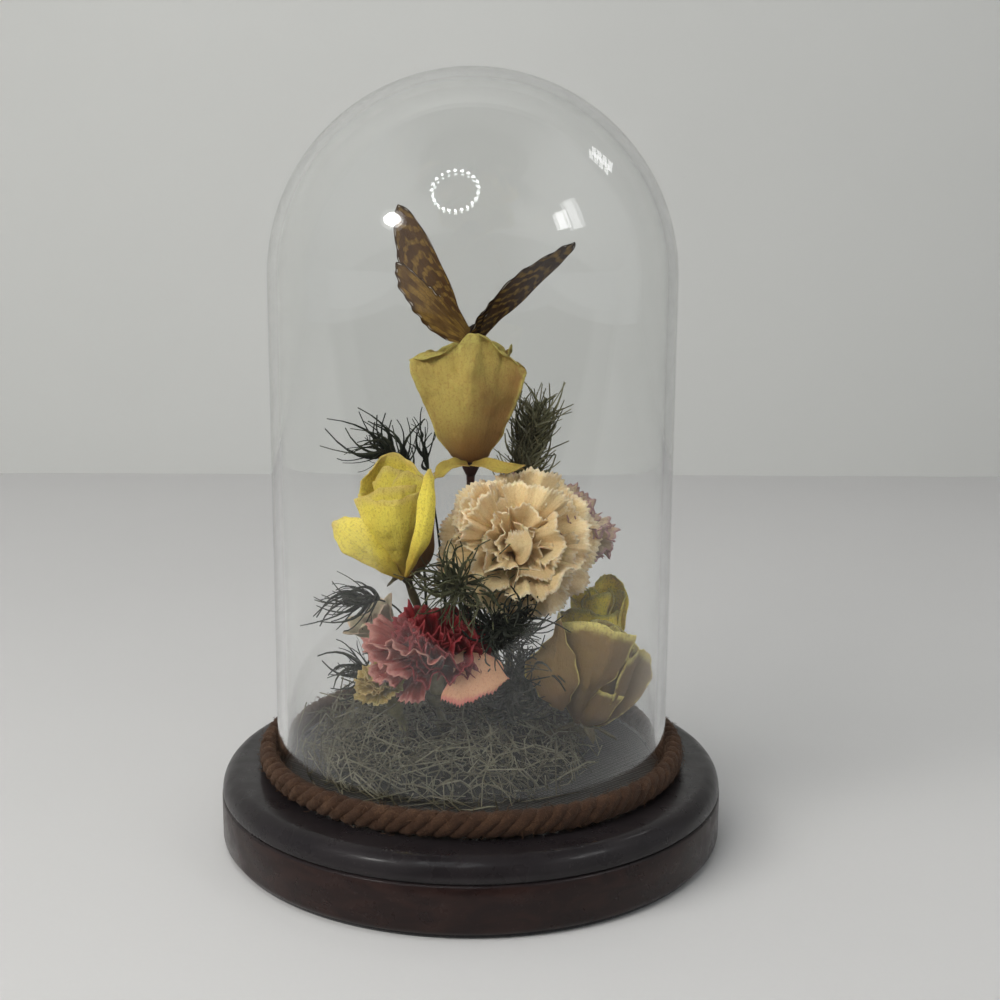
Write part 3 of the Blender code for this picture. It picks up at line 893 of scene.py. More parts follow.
def fan_petal(draft, around, tilt, claw, blade, spread, ruffle, waves, seed, root, slot=0, tone=0.5, tooth=0.75,
              teeth=13, bend=18, fold=0):
    """A carnation petal: a narrow claw that opens into a fan with a pinked, ruffled rim.

    around and tilt turn it round and away from the bloom's axis; spread is the fan's half-angle in degrees.
    """
    cols = 4 * teeth + 1
    u = np.linspace(-1, 1, cols)
    angle = np.radians(spread) * u
    low = np.array([wander(x * 2.3, seed * 1.3, 0.7) for x in u])
    jag = np.array([wander(x * 13, seed * 3.1, 2.2) for x in u])
    saw = saw_edge(cols) * (0.75 + 0.5 * low)
    reach = blade * (1 + 0.11 * low) - 0.10 * blade * np.abs(u) ** 3 + tooth * (saw - 0.5) + jag * 0.5 * tooth
    out = np.concatenate([np.zeros(CLAW_ROWS), np.linspace(0, 1, FAN_ROWS - CLAW_ROWS + 1)[1:]])
    run = np.concatenate([np.linspace(0, 1, CLAW_ROWS + 1)[:-1] * claw, np.full(FAN_ROWS - CLAW_ROWS, claw)])
    rho = out[:, None] * reach[None, :]
    s = run[:, None] + rho * np.cos(angle)[None, :]
    x = u[None, :] * (1.1 + 0.6 * (run / claw))[:, None] + rho * np.sin(angle)[None, :]
    fine = np.linspace(0, claw + blade * 1.5, 140)
    lean = np.radians(8 + (tilt - 8) * step_up(fine, 0.15 * claw, claw * 1.15)
                      + bend * step_up(fine, claw + blade * 0.55, claw + blade * 1.3))
    step = fine[1] - fine[0]
    pr = np.interp(s, fine, root[0] + np.cumsum(np.sin(lean)) * step)
    pz = np.interp(s, fine, root[1] + np.cumsum(np.cos(lean)) * step)
    pl = np.interp(s, fine, lean)
    open_share = np.clip(rho / blade, 0, 1.3)
    wave = np.sin(waves * math.pi * u + seed * 2.1 + 1.3 * low)[None, :]
    second = np.sin(waves * 2.3 * math.pi * u + seed * 4.7)[None, :]
    h = ruffle * open_share ** 1.4 * (wave + 0.35 * second) - fold * np.abs(x) * open_share
    h = h + crumple(np.stack([x, pr, pz], axis=-1), 0.55, seed + 0.3, folds=0.16, fine=0.5) * open_share
    x = x * (1 - 0.10 * np.abs(wave) * open_share)
    grid = turned(pr + h * np.cos(pl), x, pz - h * np.sin(pl), around)
    draft.add(closed_sheet(grid * MM, 0.22 * MM), slot, tone)


# ---------------------------------------------------------------------------------------------------
# Settings a user would change.
# ---------------------------------------------------------------------------------------------------

def number_setting(name, text, default, low, high, **more):
    return bpy.props.FloatProperty(name=name, description=text, default=default, min=low, max=high, **more)


def length_setting(name, text, default, low, high):
    return number_setting(name, text, default, low, high, subtype='DISTANCE', unit='LENGTH', precision=5)


def count_setting(name, text, default, low, high):
    return bpy.props.IntProperty(name=name, description=text, default=default, min=low, max=high)


def color_setting(name, text, default):
    return bpy.props.FloatVectorProperty(name=name, description="Colour of " + text, default=default, size=3,
                                         min=0, max=1, subtype='COLOR')


class GlassSettings(bpy.types.PropertyGroup):
    wall: length_setting("Wall", "Thickness of the glass", 0.0028, 0.001, 0.006)
    refraction: number_setting("Refraction", "Index of refraction of the glass", 1.45, 1, 2)
    tint: color_setting("Tint", "the light that the glass lets through", (0.985, 0.99, 0.985))
    steps: count_setting("Steps", "Steps round the dome", 160, 48, 256)


class BaseSettings(bpy.types.PropertyGroup):
    top_color: color_setting("Lacquer", "the lacquered top", (0.017, 0.014, 0.015))
    side_color: color_setting("Side wall", "the stained side wall", (0.012, 0.0055, 0.005))
    thread_pitch: length_setting("Thread pitch", "Distance between raised threads", 0.0009, 0.0003, 0.004)


class TrimSettings(bpy.types.PropertyGroup):
    turns: count_setting("Twists", "Full twists round the dome", 29, 8, 80)
    strand: length_setting("Strand", "Radius of one strand", 0.0020, 0.0005, 0.003)
    yarn_color: color_setting("Yarn", "the yarn", (0.034, 0.014, 0.0065))
    # painted highlight: colour of the fibres that catch the light
    painted_glint_color: color_setting("Glint", "the lighter fibres", (0.098, 0.050, 0.024))
    fuzz: count_setting("Fuzz", "Number of loose fibres", 4200, 0, 9000)


class MossSettings(bpy.types.PropertyGroup):
    strands: count_setting("Strands", "Number of curled strands", 1450, 50, 2500)
    thickness: length_setting("Thickness", "Radius of one strand", 0.00019, 0.00005, 0.001)
    color: color_setting("Colour", "the moss", (0.140, 0.126, 0.080))
    seed: count_setting("Seed", "Seed of the scatter", 11, 0, 999)


class FernSettings(bpy.types.PropertyGroup):
    thickness: length_setting("Needle thickness", "Radius of a needle at its foot", 0.00032, 0.00005, 0.001)
    dark_color: color_setting("Dark", "the dark sprigs", (0.022, 0.028, 0.017))
    sage_color: color_setting("Sage", "the sage sprig", (0.205, 0.195, 0.105))
    seed: count_setting("Seed", "Seed of the needles", 5, 0, 999)


class RoseSettings(bpy.types.PropertyGroup):
    olive: color_setting("Top rose", "the top rose", (0.44, 0.335, 0.095))
    yellow: color_setting("Left rose", "the left rose", (0.80, 0.655, 0.115))
    tan: color_setting("Lower right rose", "the lower right rose", (0.20, 0.130, 0.050))
    green: color_setting("Upper right rose", "the upper right rose", (0.80, 0.64, 0.085))
    crumple: number_setting("Crumple", "Depth of the crinkles, in millimetres", 0.5, 0, 2)


class CarnationSettings(bpy.types.PropertyGroup):
    cream: color_setting("Cream", "the cream carnation", (0.83, 0.63, 0.35))
    mauve: color_setting("Mauve", "the carnation behind it", (0.70, 0.55, 0.38))
    red: color_setting("Red", "the red carnation", (0.17, 0.008, 0.011))
    pink: color_setting("Pink", "the red carnation's outer petals", (0.27, 0.065, 0.052))
    tooth: number_setting("Tooth", "Depth of the pinked edge, in millimetres", 0.95, 0, 2)


class ButterflySettings(bpy.types.PropertyGroup):
    wing: length_setting("Wing", "Thickness of a wing", 0.00022, 0.0001, 0.001)
    dark: color_setting("Dark", "the wing's ground", (0.090, 0.043, 0.015))
    ochre: color_setting("Ochre", "the wing's patches", (0.42, 0.25, 0.055))


class StageSettings(bpy.types.PropertyGroup):
    floor_color: color_setting("Floor", "the floor", (0.575, 0.57, 0.565))
    wall_color: color_setting("Backdrop colour", "the backdrop", (0.655, 0.66, 0.64))
    wall_distance: length_setting("Backdrop", "Distance of the backdrop behind the dome", 0.617, 0.3, 3)
    key_power: number_setting("Key light", "Power of the key light in watts", 19, 0, 1000, subtype='POWER',
                              unit='POWER')
    focal_length: number_setting("Lens", "Focal length in millimetres", 50.4, 10, 300)


SETTINGS = {
    "dome_glass": GlassSettings, "dome_base": BaseSettings, "dome_trim": TrimSettings, "dome_moss": MossSettings,
    "dome_ferns": FernSettings, "dome_roses": RoseSettings, "dome_carnations": CarnationSettings,
    "dome_butterfly": ButterflySettings, "dome_stage": StageSettings,
}


# ---------------------------------------------------------------------------------------------------
# Glass, base, cloth and cord.
# ---------------------------------------------------------------------------------------------------

class DOME_OT_glass(bpy.types.Operator):
    """Blow the glass dome: a straight cylinder under a round crown, with a fire-polished foot."""
    bl_idname = "dome.glass"
    bl_label = "Glass dome"

    def execute(self, context):
        settings = context.scene.dome_glass
        outer, inner = GLASS_RADIUS, GLASS_RADIUS - settings.wall
        centre = GLASS_HIGH.z - outer
        lip = settings.wall / 2
        foot = GLASS_LOW.z + lip
        profile = [(0, GLASS_HIGH.z)] + smooth_arc(0, centre, outer, outer, 88.5, 0, 60)
        profile += [(outer, centre + (foot - centre) * k / 8) for k in range(1, 8)]
        profile += smooth_arc(outer - lip, foot, lip, lip, 0, -180, 9)
        profile += [(inner, foot + (centre - foot) * k / 8) for k in range(1, 8)]
        profile += smooth_arc(0, centre, inner, inner, 0, 88.5, 60) + [(0, centre + inner)]
        mesh = lathe_mesh("dome_of_glass", profile, settings.steps)
        finish_piece(place_mesh("dome_of_glass", mesh, clear_glass(settings)), "glass_dome")
        return {'FINISHED'}


# The base's outline. Heights are below its top and distances inside its rim, in mm.
GROOVE_MM = (54.05, 57.45)
GROOVE_DEPTH_MM = 5.7
SHOULDER_MM = (4.9, 5.8)
BEAD_MM = ((0.35, 6.05), (0.9, 6.2), (0.9, 6.45), (0.25, 6.75), (0, 7.15))
SIDE_WALL_MM = ((0, 8), (0, 3), (0.15, 2.2))


class DOME_OT_base(bpy.types.Operator):
    """Turn the lacquered base with its groove, bead and side wall, and cut its felt pad."""
    bl_idname = "dome.base"
    bl_label = "Wooden base and felt"

    def execute(self, context):
        edge, top, low = WOOD_HIGH.x, WOOD_HIGH.z, WOOD_LOW.z
        groove_in, groove_out = (r * MM for r in GROOVE_MM)
        floor, ease = top - GROOVE_DEPTH_MM * MM, 0.3 * MM
        flat, drop = edge - SHOULDER_MM[0] * MM, SHOULDER_MM[1] * MM
        profile = [(0, top), (20 * MM, top), (40 * MM, top), (groove_in - ease, top), (groove_in, top - ease),
                   (groove_in, floor), (groove_out, floor), (groove_out, top - ease), (groove_out + ease, top),
                   (61 * MM, top), (65 * MM, top)]
        profile += smooth_arc(flat, top - drop, edge - 0.2 * MM - flat, drop, 90, 0, 22)
        profile += [(edge - r * MM, top - h * MM) for r, h in BEAD_MM]
        profile += [(edge - r * MM, h * MM) for r, h in SIDE_WALL_MM]
        profile += [(edge - 0.7 * MM, low), (40 * MM, low), (0, low)]
        mesh = lathe_mesh("turned_base", profile, 192)
        wood = lacquered_wood(context.scene.dome_base)
        finish_piece(place_mesh("turned_base", mesh, wood), "wooden_base")
        rim, high, low = FELT_HIGH.x, FELT_HIGH.z, FELT_LOW.z
        pad = [(0, high), (rim - 0.3 * MM, high)]
        pad += smooth_arc(rim - 0.4 * MM, (high + low) / 2, 0.4 * MM, (high - low) / 2, 80, -80, 7)
        pad += [(rim - 1 * MM, low), (0, low)]
        felt = place_mesh("felt_pad", lathe_mesh("felt_pad", pad, 144), pressed_felt())
        finish_piece(felt, "base_felt")
        return {'FINISHED'}


class DOME_OT_disc(bpy.types.Operator):
    """Cover the disc inside the glass with charcoal cloth that is not quite flat."""
    bl_idname = "dome.disc"
    bl_label = "Cloth-covered disc"

    def execute(self, context):
        rim, top, low = DISC_HIGH.x, DISC_HIGH.z, DISC_LOW.z
        half = (top - low) / 2
        profile = [(0, top)] + [(rim * 0.985 * (k / 26), top) for k in range(1, 27)]
        profile += smooth_arc(rim - half, (top + low) / 2, half, half, 84, -84, 9)
        profile += [(rim * 0.9, low), (0, low)]
        mesh = lathe_mesh("cloth_disc", profile, 144)
        for vert in mesh.vertices:
            if vert.co.z > top - 0.4 * half:
                vert.co.z += 0.12 * MM * (wander(vert.co.x * 70, vert.co.y * 70, 0) - 1)
        cloth = woven_cloth(context.scene.dome_base)
        finish_piece(place_mesh("cloth_disc", mesh, cloth), "fabric_disc")
        return {'FINISHED'}


def twisted_cord_tree():
    """Three strands wound round a ring, with loose fibres standing off them."""
    shape = ShapeTree("Twisted cord", {
        "Twists": "Float", "Strand radius": "Float", "Spread out": "Float", "Spread up": "Float", "Fibres": "Int",
        "Fibre length": "Float", "Surface area": "Float", "Seed": "Int", "Material": "Material"})
    given = shape.given
    ring = shape.out("GeometryNodeMeshToCurve", {0: given["Geometry"]})
    factor = shape.out("GeometryNodeSplineParameter", output="Factor")
    place = shape.out("GeometryNodeInputPosition")
    outward = shape.vector('NORMALIZE', shape.vector('MULTIPLY', place, (1, 1, 0)))
    profile = shape.circle(given["Strand radius"], 10)
    strands = []
    for strand in range(3):
        ripple = shape.out("ShaderNodeTexNoise", {"Vector": place, "Scale": 300}, "Fac")
        wind = factor * given["Twists"] * TURN + TURN * strand / 3 + (ripple - 0.5) * 0.9
        away = shape.math('COSINE', wind) * given["Spread out"]
        up = shape.math('SINE', wind) * given["Spread up"]
        offset = shape.vector('ADD', shape.vector('SCALE', outward, Scale=away), shape.combine(z=up))
        moved = shape.out("GeometryNodeSetPosition", {"Geometry": ring, "Offset": offset})
        strands.append(shape.sweep(moved, profile))
    smooth = shape.soften(shape.join(*strands))
    lump = shape.out("ShaderNodeTexNoise", {"Scale": 900, "Detail": 3}, "Fac")
    push = shape.vector('SCALE', shape.out("GeometryNodeInputNormal"), Scale=(lump - 0.5) * 0.0009)
    rough = shape.out("GeometryNodeSetPosition", {"Geometry": smooth, "Offset": push})
    plain = shape.store_tone(rough, 0.2, 'POINT')
    bent = shape.out("GeometryNodeCurvePrimitiveBezierSegment",
                     {"Resolution": 4, "Start": (0, 0, 0), "Start Handle": (0, 0, 0.5),
                      "End Handle": (0.25, 0, 0.8), "End": (0.7, 0, 0.9)})
    fibre = shape.sweep(bent, shape.circle(0.05, 3), **{"Fill Caps": True})
    scatter = shape.add("GeometryNodeDistributePointsOnFaces",
                        {"Mesh": rough, "Density": given["Fibres"] / given["Surface area"], "Seed": given["Seed"]})
    points, rotation = (Wire(shape, scatter.outputs[name]) for name in ("Points", "Rotation"))
    spun = shape.turn(rotation, (0, 0, 1), shape.random(0, 6.283, 1))
    leaned = shape.turn(spun, (0, 1, 0), shape.random(0.2, 1.2, 2))
    fuzz = shape.out("GeometryNodeInstanceOnPoints", {
        "Points": points, "Instance": fibre, "Rotation": leaned,
        "Scale": given["Fibre length"] * shape.random(0.5, 1.3, 3)})
    return shape.finish(shape.join(shape.store_tone(fuzz, shape.random(0.3, 1, 4)), plain))


class DOME_OT_trim(bpy.types.Operator):
    """Wind the fuzzy brown cord round the foot of the glass."""
    bl_idname = "dome.trim"
    bl_label = "Cord trim"

    def execute(self, context):
        settings = context.scene.dome_trim
        outer = TRIM_HIGH.x
        count = 960
        ring = ring_points((outer + GLASS_RADIUS) / 2 + 0.05 * MM, count, (TRIM_LOW.z + TRIM_HIGH.z) / 2)
        route = new_mesh("ring_route", ring, [], [(k, (k + 1) % count) for k in range(count)])
        mesh = grow("cord_trim", route, twisted_cord_tree(), {
            "Twists": settings.turns, "Strand radius": settings.strand,
            "Spread out": (outer - GLASS_RADIUS) / 2 + 0.1 * MM - settings.strand,
            "Spread up": (TRIM_HIGH.z - TRIM_LOW.z) / 2 - settings.strand, "Fibres": settings.fuzz,
            "Fibre length": 1.5 * MM, "Surface area": 0.022, "Seed": 3, "Material": cord_yarn(settings)})
        finish_piece(place_mesh("cord_trim", mesh), "braided_trim")
        return {'FINISHED'}


# ---------------------------------------------------------------------------------------------------
# Flowers.
# ---------------------------------------------------------------------------------------------------


def shape_top_rose(draft):
    """Tall closed rose: one broad front petal with its rim folded out at both corners."""
    heart_petals(draft, 7, 31.5, 8.6, seed=3, start=40, rough=0.8)
    wrapped_petal(draft, 178, ((1, 1.4), (4.6, 4.2), (8, 10), (10.4, 18), (11.2, 26), (9.8, 33)),
        ((0, 2), (0.2, 8), (0.5, 14), (1, 15)), ((-1, 33), (-0.4, 36.5), (0.2, 36.8), (1, 32.5)),
        ((-1, 0.3), (-0.5, 2.6), (0.1, 0.5), (1, 2.4)), seed=11)
    wrapped_petal(draft, 104, ((1, 1.3), (4.4, 4), (7.2, 9.6), (9.2, 17), (10.2, 25), (10.8, 31)),
        ((0, 2), (0.2, 6.6), (0.5, 10.6), (1, 9.6)), ((-1, 30), (-0.35, 36.8), (0.1, 34.6), (1, 31)),
        ((-1, 0.4), (-0.3, 0.5), (0.5, 3.2), (1, 0.5)), seed=12, tone=0.42)
    wrapped_petal(draft, -110, ((1, 1.3), (4.4, 4), (7.2, 9.6), (9.4, 17), (10.4, 25), (10.8, 30.5)),
        ((0, 2), (0.2, 7), (0.5, 11.5), (1, 11)), ((-1, 29), (-0.35, 33.5), (0.2, 34), (1, 31)),
        ((-1, 0.4), (0, 2.6), (1, 0.5)), seed=13, tone=0.55)
    wrapped_petal(draft, -4,
        ((1, 1.2), (4.6, 3.4), (7.6, 7.6), (9.8, 13), (11, 19.5), (11.6, 25.5), (11.2, 31), (8.2, 37.4)),
        ((0, 2.2), (0.12, 6.4), (0.3, 11.6), (0.5, 15.2), (0.8, 18.8), (1, 19.4)), ((-1, 33), (-0.72, 34.6),
        (-0.42, 35.2), (-0.2, 37.6), (0.02, 41.6), (0.2, 40.8), (0.5, 36.2), (0.78, 32.6), (1, 29)),
        ((-1, 0.8), (-0.86, 3.4), (-0.55, 5), (-0.3, 2), (-0.12, 0.2), (0.06, 0.2), (0.24, 2.8), (0.6, 4),
        (0.86, 2.6), (1, 0.5)), fold_turn=150, roll=(42, 34), roll_from=(0.5, 0.95), rough=1.9, seed=14,
        tone=0.55, rows=64, cols=60, creases=((0.05, 0.14, 0.9, 0.3, 1.2), (-0.2, 0.11, -1.5, 0.66, 0.94),
        (0.27, 0.14, -1.1, 0.6, 0.98), (0.6, 0.26, -0.6, 0.1, 0.9)))
    laid_petal(draft, ((-0.5, -3, 110.6), (3.5, -7, 111.2), (9, -9.5, 110.6), (14.5, -8.5, 110.2)),
        ((0, 1), (0.3, 2), (0.65, 1.6), (1, 0.3)), ((0, 1), (0.3, 1.6), (0.7, 2.6), (1, 0.3)),
        face=(0, -1, 1.1), bow=-0.5, crease=-0.7, rough=2.4, seed=26, slot=3, tone=0.35, rows=30, cols=20)
    laid_petal(draft, ((-1, -3, 110.4), (-4.5, -6, 111.2), (-8.5, -8, 109.8), (-11, -8, 106.6)),
        ((0, 1), (0.4, 1.6), (0.8, 2.4), (1, 0.3)), ((0, 1), (0.4, 1.8), (0.7, 1.6), (1, 0.3)),
        face=(-0.3, -1, 0.9), bow=-0.4, crease=-0.8, rough=2.4, seed=27, slot=3, tone=0.35, rows=30,
        cols=20)
    for around, length, droop, seed in ((95, 13, 0.6, 23), (150, 12, 0.8, 24), (-120, 11, 0.85, 25)):
        sepals(draft, length, droop, 0, 4, ((around, seed),), tone=0.8)


def shape_left_rose(draft):
    """Half-open rose: a high back petal, two low front rims, a rolled right edge and a fallen left petal."""
    heart_petals(draft, 4, 22.6, 4.2, seed=5, start=15, rough=0.8, open_out=0.3)
    laid_petal(draft, ((-19.5, -6, 82), (-21.5, -2.5, 92), (-22.5, -1.5, 103), (-22, -4, 113)),
        ((0, 1.5), (0.3, 6.5), (0.65, 9.8), (0.85, 9), (1, 7)),
        ((0, 1.5), (0.3, 6.5), (0.7, 9.6), (0.88, 9.6), (1, 8.6)), curl=(5, 6), bow=-0.5,
        rim=((-1, -4.5), (-0.55, -1), (-0.1, 0.2), (0.5, -1.6), (1, -3.8)), rough=1.7, seed=31, tone=0.55,
        rows=52, cols=44)
    wrapped_petal(draft, 8, ((1, 0), (3.6, 5), (6.6, 12.5), (8.4, 19.5), (8.8, 24.5)),
        ((0, 1.4), (0.3, 6), (0.7, 10.5), (1, 10.5)), ((-1, 24.2), (-0.2, 27.2), (0.5, 26.6), (1, 25.2)),
        seed=32, rough=0.8, tone=0.45)
    laid_petal(draft, ((-18.8, -14, 80.5), (-20.8, -19, 88.5), (-22.4, -21.5, 96.5), (-23.6, -20.5, 103.4)),
        ((0, 0.8), (0.3, 3.4), (0.55, 6.6), (0.8, 8), (1, 9.2)),
        ((0, 0.8), (0.3, 3.4), (0.6, 6.4), (1, 9.4)), curl=(-3.2, -3.5), bow=1.6,
        rim=((-1, 1), (-0.7, 1.4), (-0.2, -0.4), (0.4, -1), (1, 0.4)), rough=1.9, seed=33, rows=52, cols=44)
    laid_petal(draft, ((-18.8, -14.2, 79.8), (-20.4, -18, 88), (-22.2, -19.8, 96.8), (-23, -18, 105.4)),
        ((0, 0.8), (0.5, 4.5), (1, 7)), ((0, 0.8), (0.5, 4.5), (1, 7.5)), curl=(-3, -3),
        rim=((-1, -1), (-0.2, 0.6), (1, -0.4)), seed=37, tone=0.4)
    laid_petal(draft, ((-19.4, -12, 84), (-19.2, -14.5, 94), (-18.4, -15, 103), (-17.4, -12, 108.2)),
        ((0, 0.8), (0.5, 4), (1, 5.4)), ((0, 0.8), (0.5, 3.6), (1, 4.6)), curl=(-3.6, 2.6),
        rim=((-1, -2.4), (-0.2, 0.8), (0.5, 0.2), (1, -1.6)), rough=1.5, seed=45, tone=0.15)
    laid_petal(draft, ((-20.5, -10, 84), (-21.4, -11, 96), (-22, -11.5, 104.5), (-22.6, -9, 109.6)),
        ((0, 0.8), (0.5, 5), (1, 6.2)), ((0, 0.8), (0.5, 4.6), (1, 5.6)), curl=(-3, -3.4),
        rim=((-1, -2), (-0.3, 0.6), (0.3, -0.4), (1, -1.8)), rough=1.5, seed=46, tone=0.3)
    laid_petal(draft, ((-18.4, -17.5, 80.8), (-16.2, -20.4, 87), (-14.3, -21.6, 92.5), (-13.2, -21.6, 98),
        (-12.8, -20.4, 103), (-11.9, -15.5, 110.4)),
        ((0, 0.4), (0.2, 1.3), (0.4, 2.1), (0.7, 2), (0.92, 1.3), (1, 0.4)),
        ((0, 0.4), (0.2, 1.4), (0.4, 2.7), (0.7, 2.7), (0.92, 1.6), (1, 0.4)), face=(0.12, -1, 0.1),
        bow=1.7, rough=1.6, seed=34, tone=1, rows=56, cols=28)
    # this petal takes the painted-shade brown in slot 2, standing in for the shadow under the rolled strip
    laid_petal(draft, ((-17.8, -13.5, 79.5), (-13.8, -16.5, 85.5), (-12.4, -17, 94), (-11.6, -12.5, 107)),
        ((0, 0.8), (0.3, 3.2), (0.6, 3.6), (1, 2.5)), ((0, 0.8), (0.3, 2.6), (0.6, 1.8), (1, 1)),
        face=(0.5, -1, -0.2), bow=1.2, seed=38, slot=2)
    wrapped_petal(draft, 100, ((1.2, -0.6), (4.6, 5), (7.4, 12.5), (8.2, 20), (8, 26)),
        ((0, 2), (0.3, 7), (0.7, 9.5), (1, 7)), ((-1, 26), (0, 28.5), (1, 26)), seed=39)
    laid_petal(draft,
        ((-19.5, -14.5, 79.3), (-26, -18.5, 85.4), (-32.2, -19.5, 91.2), (-38.3, -17.5, 95.8)),
        ((0, 0.6), (0.3, 2.2), (0.5, 3.6), (0.7, 4.8), (0.87, 3.2), (1, 0.7)),
        ((0, 0.6), (0.4, 3.9), (0.78, 5.9), (0.92, 3.8), (1, 0.7)), face=(-0.1, -1, -0.15), bow=1.3,
        curl=(0.6, -1.4), rough=1.3, seed=35, tone=0.8, rows=50, cols=36)
    wrapped_petal(draft, -112, ((1.2, -0.4), (5, 4), (8, 11), (9.6, 19), (10.2, 24)),
        ((0, 2), (0.3, 8), (0.7, 11.5), (1, 8)), ((-1, 24), (0, 26), (1, 24)),
        ((-1, 0.5), (0, 1.5), (1, 0.5)), seed=36, tone=0.6)
    sepals(draft, 7, 0.9, 1, 1.4, ((-60, 41), (60, 42), (140, 43), (-140, 44)))


def shape_right_lower_rose(draft):
    """Slumped tan rose: a broad front panel, a left petal folded along its middle and a right petal held out."""
    heart_petals(draft, 6, 27, 7, seed=7, start=80, rough=1, open_out=0.5)
    wrapped_petal(draft, 176, ((1.2, 1.4), (5.6, 6), (9.4, 13), (10.6, 21), (10.4, 28)),
        ((0, 2.2), (0.3, 11), (0.7, 15), (1, 13)), ((-1, 27), (0, 31), (1, 28)),
        ((-1, 0.5), (-0.3, 2.2), (0.5, 0.5), (1, 1)), seed=51)
    laid_petal(draft, ((30.5, -12, 35.5), (31.6, -18, 45), (33.6, -20.5, 56), (34.6, -19, 67.2)),
        ((0, 1.4), (0.3, 6), (0.6, 9), (1, 9.6)),
        ((0, 0.7), (0.3, 1.6), (0.45, 3.4), (0.62, 7.4), (0.8, 10.2), (1, 11.2)), bow=1.4, crease=1.2,
        curl=(-3.5, -3), rim=((-1, -0.6), (-0.3, 1), (0.15, 0.7), (0.45, -1.4), (1, -2.4)), rough=1.6,
        seed=52, tone=0.6, rows=56, cols=50)
    laid_petal(draft, ((31, -8, 34.6), (38.2, -11.5, 41), (44.8, -11, 48.4), (51, -6.5, 55.6)),
        ((0, 1.6), (0.3, 7), (0.62, 9), (0.92, 4.6), (1, 1.2)),
        ((0, 1.6), (0.25, 4.6), (0.5, 5.6), (0.78, 5.2), (0.95, 2.6), (1, 1.2)), face=(-0.15, -1, 0.2),
        bow=-1.8, crease=-1.6, curl=(0, 1.2), rough=1.4, seed=53, tone=0.75, rows=52, cols=44)
    laid_petal(draft, ((32.6, -11.5, 34), (34.4, -15.5, 40), (37, -16.5, 47.5)),
        ((0, 0.8), (0.5, 5), (1, 5.5)), ((0, 0.8), (0.5, 4.6), (1, 6.4)), crease=1.6, bow=0.4, rough=1.3,
        seed=56, tone=0.55)
    laid_petal(draft, ((25.3, -20, 42.2), (23.8, -22.8, 49.5), (23, -23.4, 58.5), (24, -19.6, 70.8)),
        ((0, 0.4), (0.12, 2.8), (0.25, 5.6), (0.42, 8.2), (0.55, 8), (0.67, 4.2), (0.8, 1), (1, 0.3)),
        ((0, 0.4), (0.12, 3), (0.33, 6), (0.58, 5.6), (0.76, 2.6), (1, 0.4)), face=(-0.1, -1, 0),
        crease=2.6, bow=-0.2, curl=(0, -0.8), rough=1.6, seed=54, tone=0.95, rows=56, cols=44)
    wrapped_petal(draft, -100, ((1.4, 1.3), (5.6, 5), (8.6, 12), (9.6, 20), (9.6, 26)),
        ((0, 2.2), (0.3, 9), (0.7, 12), (1, 10)), ((-1, 26), (0, 29), (1, 26)),
        ((-1, 0.5), (0, 1.8), (1, 0.5)), seed=55, tone=0.45)
    wrapped_petal(draft, 92, ((1.4, 1.3), (5.6, 5), (8.8, 12), (10, 20), (10.2, 26)),
        ((0, 2.2), (0.3, 8), (0.7, 11), (1, 9)), ((-1, 26), (0, 28), (1, 25)), seed=57, tone=0.4)
    sepals(draft, 8, 0.6, 1, 1.6, ((-60, 61), (10, 62), (80, 63), (150, 64), (-135, 65)))


def shape_right_upper_rose(draft):
    """Yellow-green rose seen into its spiral, with a tall rounded back petal."""
    heart_petals(draft, 5, 21, 5, seed=9, start=-30, rough=1, open_out=0.8)
    laid_petal(draft, ((38, 10, 49), (42, 13.5, 57), (43, 14, 66), (41.2, 11, 74.2)),
        ((0, 1.5), (0.4, 7), (0.75, 7.4), (0.92, 4.6), (1, 2.4)),
        ((0, 1.5), (0.4, 5), (0.7, 5.6), (0.9, 4.4), (1, 2.2)), face=(-0.3, -1, 0.25), bow=-0.4,
        curl=(2.5, 3.2), rough=1.5, seed=71, tone=0.85, rows=48, cols=40)
    laid_petal(draft, ((36.5, 7, 48.5), (38.5, 3, 56), (39, 3.5, 64.5)), ((0, 1.5), (0.5, 6.5), (1, 6)),
        ((0, 1.5), (0.5, 6.5), (1, 5.5)), face=(0.1, -1, 0.1), bow=1.2, curl=(-2.5, -2.5),
        rim=((-1, 1), (0, -0.6), (1, 0.6)), rough=1.3, seed=73)
    laid_petal(draft, ((34.5, 5, 49), (31.5, 0.5, 57), (30, 0, 67)), ((0, 1.5), (0.5, 5.5), (1, 4.8)),
        ((0, 1.5), (0.5, 5), (1, 4.4)), face=(-0.35, -1, 0.1), bow=1.4, curl=(-1.5, 1),
        rim=((-1, -1.6), (0, 0.6), (1, -0.8)), rough=1.4, seed=74, tone=0.35)
    for around, reach, seed in ((130, 24, 75), (-120, 23, 76)):
        wrapped_petal(draft, around, ((1, 1.3), (4.6, 5), (7, 11), (7.8, 17), (8.2, 21.5)),
            ((0, 1.8), (0.3, 7), (0.7, 10.5), (1, 8)), ((-1, reach - 2), (0.1, reach), (1, reach - 2)),
            ((-1, 0.4), (0.1, 1.8), (1, 0.5)), seed=seed)
    sepals(draft, 7, 0.5, 1, 1.4, ((-60, 81), (20, 82), (95, 83), (165, 84), (-130, 85)))


